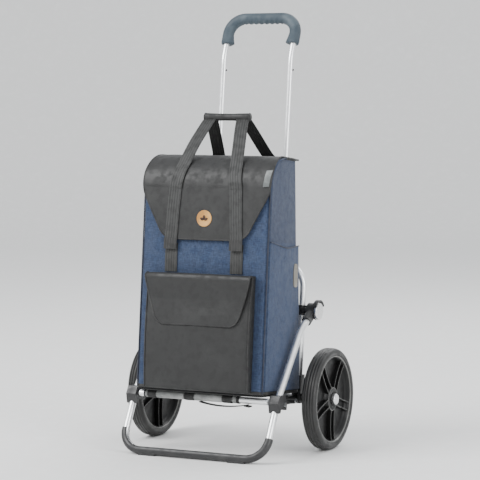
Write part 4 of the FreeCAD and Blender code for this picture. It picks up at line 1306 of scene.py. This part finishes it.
rings = []
for n in range(49):
    share = n / 48
    x = -62 * MM + 124 * MM * share
    end = min(share, 1 - share) * 48
    radius = GRIP_RADIUS * (0.93 + 0.05 * cos(2 * pi * share)) - max(0, 2 - end) * 0.8 * MM
    ring = []
    for a in full_turn(36):
        fold = 0.45 * MM * soft_noise(x, cos(a) * 0.02, sin(a) * 0.02, 0.014)
        y = squared(cos(a), 0.9) * (radius + fold)
        z = squared(sin(a), 0.85) * (radius * 0.95 + fold)
        ring.append(Vector((x, GRIP.y + y, GRIP.z + z)))
    rings.append(ring)
roll = loft("roll", rings, black_cloth)
seam_line = [Vector((x * MM, GRIP.y - GRIP_RADIUS * 0.72, GRIP.z - GRIP_RADIUS * 0.66))
             for x in range(-58, 59, 4)]
trims = [roll, stitch("row", seam_line, 4 * MM)]
for x in (-60, 60):
    hoop = [Vector((x * MM, GRIP.y + GRIP_RADIUS * 0.92 * cos(a),
                    GRIP.z + GRIP_RADIUS * 0.90 * sin(a))) for a in full_turn(32)]
    trims.append(sweep("hoop", hoop, round_section(1.3 * MM), binding, closed=True))
carry_grip = join("carry_grip_cloth", trims)
soft_goods(carry_grip, "flap_top", ["carry_grip"])
print("grip:", len(carry_grip.data.polygons), "faces")

# %% [markdown]
# The small things that the eye finds first: a round cork badge with a burnt sprig of three leaves,
# and a folded satin label in the cover's side seam.

# %% Badge and label
BADGE_UP = 417 * MM


def badge_point(x, up, out):
    ahead = bag_ahead(cover_surface(0, TOP_DOWN + EDGE_UP - BADGE_UP, COVER_WALL + out))
    return bag_point(x, ahead, BADGE_UP + up)


rings = []
for radius, out in ((19.6, -0.2), (20.0, 0.8), (19.5, 1.6), (18.6, 1.9), (18.2, 1.7), (10, 1.8),
                    (0.4, 1.8)):
    rings.append([badge_point(radius * MM * cos(a), radius * MM * sin(a), out * MM)
                  for a in full_turn(64)])
disc = loft("disc", rings, cork)
leaves = [disc]
for turn, long, wide in ((0.5, 10.5, 3.2), (1.55, 12, 3.6), (2.6, 10.5, 3.2)):
    rings = []
    for out in (1.4, 2.15):
        ring = []
        for a in full_turn(28):
            along = long * (0.5 - 0.5 * cos(a)) + 1.2
            beside = wide * sin(a) * abs(sin(a)) ** 0.4
            ring.append(badge_point((along * cos(turn) - beside * sin(turn)) * MM,
                                    (along * sin(turn) + beside * cos(turn) - 5) * MM,
                                    out * MM))
        rings.append(ring)
    leaves.append(loft("leaf", rings, motif))
badge = join("cork_badge", leaves)
soft_goods(badge, "flap_top", ["badge"])

label_spots = []
for x, up in zip(evenly(160 * MM, 163 * MM, 12), evenly(496 * MM, 534 * MM, 12)):
    base = cover_surface(x, cover_place(up), COVER_WALL + 1.6 * MM)
    label_spots.append((base, Vector((0.97, 0.2, 0.08)).normalized()))
label = ribbon("side_label", label_spots, 15 * MM, 0.9 * MM, label_cloth)
soft_goods(label, "flap_top")
print("badge and label made")

# %% [markdown]
# The bag is tied to the platform's front tube with bands of webbing, some dark and some grey, and
# one long band hangs loose in a shallow loop. The bands are turned shapes a little wider than the
# tube, with soft noise so that they look wound by hand. Under the bag lies a stiff board. It turns
# with the platform, and its narrow back passes between the axle brackets.

# %% Bands on the front tube
bar_low, bar_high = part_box("platform_front_tube")
BAR = (bar_low + bar_high) / 2
BANDS = [(-160, -156.5, 9.6, binding), (-156, -150, 9.0, wrap_grey), (-149.5, -126, 9.8, binding),
         (-125.5, -50, 9.1, wrap_grey), (-49.5, -23, 9.8, binding), (-22.5, 53, 9.1, wrap_grey),
         (53.5, 80, 9.8, binding), (80.5, 91, 9.0, wrap_grey), (91.5, 99, 9.6, binding)]
BAND_BORE = 8.15
bands = []
for start_x, stop_x, radius, cloth in BANDS:
    rings = []
    count = max(4, int((stop_x - start_x) / 3))
    for a in full_turn(48):
        ring = []
        for i, x in enumerate(evenly(start_x, stop_x, count)):
            end = 0.5 if i in (0, count) else 0
            r = radius - end + 0.35 * soft_noise(x * MM, cos(a) * 0.02, sin(a) * 0.02,
                                                 0.012)
            ring.append((x, r))
        ring += [(stop_x, BAND_BORE), (start_x, BAND_BORE)]
        rings.append([Vector((x * MM, BAR.y + r * MM * cos(a), BAR.z + r * MM * sin(a)))
                      for x, r in ring])
    bands.append(loft("band", rings + rings[:1], cloth, caps=False))
tube_bands = join("tube_bands", bands)
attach(tube_bands, "platform")

loop_spots = []
for share in evenly(0, 1, 32):
    drop = 10.6 + 7.5 * arch(share) ** 0.8
    x = -10 + 128 * share
    loop_spots.append((Vector((x * MM, BAR.y + 1 * MM, BAR.z - drop * MM)), Vector((0, 1, 0))))
loose = ribbon("loose", loop_spots, 15 * MM, 1.4 * MM, webbing)
tongue_spots = [(Vector(((112 + n) * MM, BAR.y + 1 * MM, BAR.z - (13.2 + 0.12 * n) * MM)),
                 Vector((0, 1, 0))) for n in range(15)]
tongue = ribbon("tongue", tongue_spots, 17 * MM, 2.6 * MM, webbing_dark_and_shaded)
loose_band = join("loose_band", [loose, tongue])
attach(loose_band, "platform")
print("bands:", len(tube_bands.data.polygons), "faces")

# %% [markdown]
# The platform's front tube turns back at both ends and goes into a slim moulded side rail. The CAD
# rail is a plain bar, so a slimmer rail with rounded edges and a silver elbow stand for it.

# %% Side rails with their elbows
HINGE = Vector((0, 0.82 * MM, 124 * MM))
RAIL_X = 173.5 * MM


def rail_height(y):
    share = (y - HINGE.y) / (BAR.y - HINGE.y)
    return HINGE.z + (BAR.z - HINGE.z) * share


for side, sign in SIDES:
    rings = []
    for n in range(25):
        y = (-136 + 144 * n / 24) * MM
        end = min(n, 24 - n)
        tall = (6.2 if end else 5.2) * MM
        wide = (4.4 if end else 3.6) * MM
        rings.append([Vector((sign * RAIL_X + squared(cos(a), 0.4) * wide, y,
                              rail_height(y) - 1 * MM + squared(sin(a), 0.4) * tall))
                      for a in full_turn(20)])
    slim = loft("slim", rings, plastic)
    elbow_line = [Vector((sign * 164 * MM, BAR.y, BAR.z))]
    for a in quarter_turn(8):
        y = BAR.y + (7 - 7 * cos(a)) * MM
        elbow_line.append(Vector((sign * (166 + 6.5 * sin(a)) * MM, y, rail_height(y))))
    for y in (-134, -126, -119):
        elbow_line.append(Vector((sign * 172.5 * MM, y * MM, rail_height(y * MM))))
    elbow = sweep("elbow", elbow_line, round_section(7.9 * MM, 20), tube_metal, Vector((0, 0, 1)))
    rail = join("side_rail_" + side, [slim, elbow])
    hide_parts("platform_rail_" + side)
    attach(rail, "platform")
    print(rail.name, len(rail.data.polygons), "faces")

# %% Base board
corners = [(-144, 7), (144, 7), (144, 104), (150, 108), (163, 111), (163, 200), (157, 207),
           (-157, 207), (-163, 200), (-163, 111), (-150, 108), (-144, 104)]
outline = []
for (x0, a0), (x1, a1) in zip(corners, corners[1:] + corners[:1]):
    outline += [(x0 + (x1 - x0) * n / 4, a0 + (a1 - a0) * n / 4) for n in range(4)]
rings = []
for inset, up in ((2.2, -0.7), (0.6, -1.1), (0, -2.4), (0.6, -4.0), (2.2, -4.6)):
    rings.append([bag_point((x - copysign(inset, x) * (abs(x) > 30)) * MM,
                            (a + (inset if a < 60 else -inset)) * MM, up * MM)
                  for x, a in outline])
base_board = loft("base_board", rings, black_cloth, smooth=False)
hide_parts("bag_base_panel")
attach(base_board, "platform")

# %% [markdown]
# A dark panel closes the back of the bag where it rubs against the frame. It is a thin sheet sewn
# along its edges.

# %% Back panel
def back_point(x, up, out):
    half = half_back(up) - 26 * MM
    dent = 0.8 * MM * soft_noise(x, 50 * MM, up, 0.08)
    return bag_point(x * half, -(0.6 * MM + out + max(0, dent) * (1 - x * x)), up)


grid = [[back_point(x, up, 0) for x in evenly(-1, 1, 24)] for up in evenly(16 * MM, 556 * MM, 48)]
panel = thicken(sheet("panel", grid, black_cloth, flip=True), 1.3 * MM, 1.0)
rows = []
for sign in (1, -1):
    rows.append(stitch("row", [back_point(sign * 0.94, (20 + 11 * n) * MM, 1.5 * MM)
                               for n in range(49)]))
for up in (24, 300, 548):
    rows.append(stitch("row", [back_point(x / 20, up * MM, 1.5 * MM) for x in range(-19, 20)]))
back_panel = join("back_panel", [panel] + rows)
soft_goods(back_panel, "root")
print("back panel:", len(back_panel.data.polygons), "faces")

# %% [markdown]
# The handle's grip is soft foam rubber: one moulded piece around the top bar and both upper legs.
# It is swept along the bar's line. Under the top it has finger waves, and each lower end swells
# into a small wedge on its inner side. The wall is closed, with the tube's bore inside it.

# %% Handle grip
grip_box_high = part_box("soft_grip")[1]
GRIP_ROUND = 14.4 * MM
GRIP_BORE = 7.7 * MM
GRIP_INSET = 14.5 * MM
KICK = radians(23)
LEG_X = grip_box_high.x - GRIP_INSET
BAR_TOP = Vector((0, grip_box_high.y - GRIP_INSET, grip_box_high.z - GRIP_INSET))
BEND = 42 * MM
LEG_LOW = -70 * MM


def grip_plane(x, down):
    return BAR_TOP + Vector((x, down * sin(KICK), down * cos(KICK)))


bar_half = LEG_X - BEND
half_line = [grip_plane(LEG_X, down) for down in evenly(LEG_LOW, -BEND, 14)[:-1]]
half_line += [grip_plane(bar_half + BEND * cos(a), -BEND + BEND * sin(a))
              for a in quarter_turn(12)]
half_line += [grip_plane(x, 0) for x in evenly(bar_half, 0, 40)[1:-1]]
other_half = [Vector((-p.x, p.y, p.z)) for p in half_line]
grip_line = other_half + [grip_plane(0, 0)] + list(reversed(half_line))
FACING = Vector((0, -cos(KICK), sin(KICK)))
WAVES = 7


def grip_ring(n, hollow):
    spot = grip_line[n]
    before, after = grip_line[max(n - 1, 0)], grip_line[min(n + 1, len(grip_line) - 1)]
    way = (after - before).normalized()
    inner = way.cross(FACING)
    drop = -(spot.z - BAR_TOP.z) / cos(KICK)
    from_end = min(n, len(grip_line) - 1 - n)
    ring = []
    for a in full_turn(40):
        radius = GRIP_BORE
        if not hollow:
            radius = GRIP_ROUND - 0.5 * MM * max(0, 2 - from_end)
            inward = max(0, sin(a))
            if abs(spot.x) < bar_half + 8 * MM:
                wave = 0.5 + 0.5 * cos(2 * pi * WAVES * spot.x / (2 * bar_half))
                radius -= 2.4 * MM * wave * inward ** 1.5
            wedge = max(0, 1 - (-LEG_LOW - drop) / (30 * MM)) if drop > 40 * MM else 0
            radius += 7.5 * MM * wedge ** 1.3 * inward ** 4 * (0.25 if from_end < 1 else 1)
        ring.append(spot + FACING * radius * cos(a) + inner * radius * sin(a))
    return ring


last = len(grip_line) - 1
rings = [grip_ring(n, False) for n in range(last + 1)]
rings += [grip_ring(n, True) for n in range(last, -1, -1)]
handle_grip = loft("handle_grip", rings + rings[:1], grip_foam, caps=False)
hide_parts("soft_grip")
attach(handle_grip, "handle")
print("handle grip:", len(handle_grip.data.polygons), "faces")
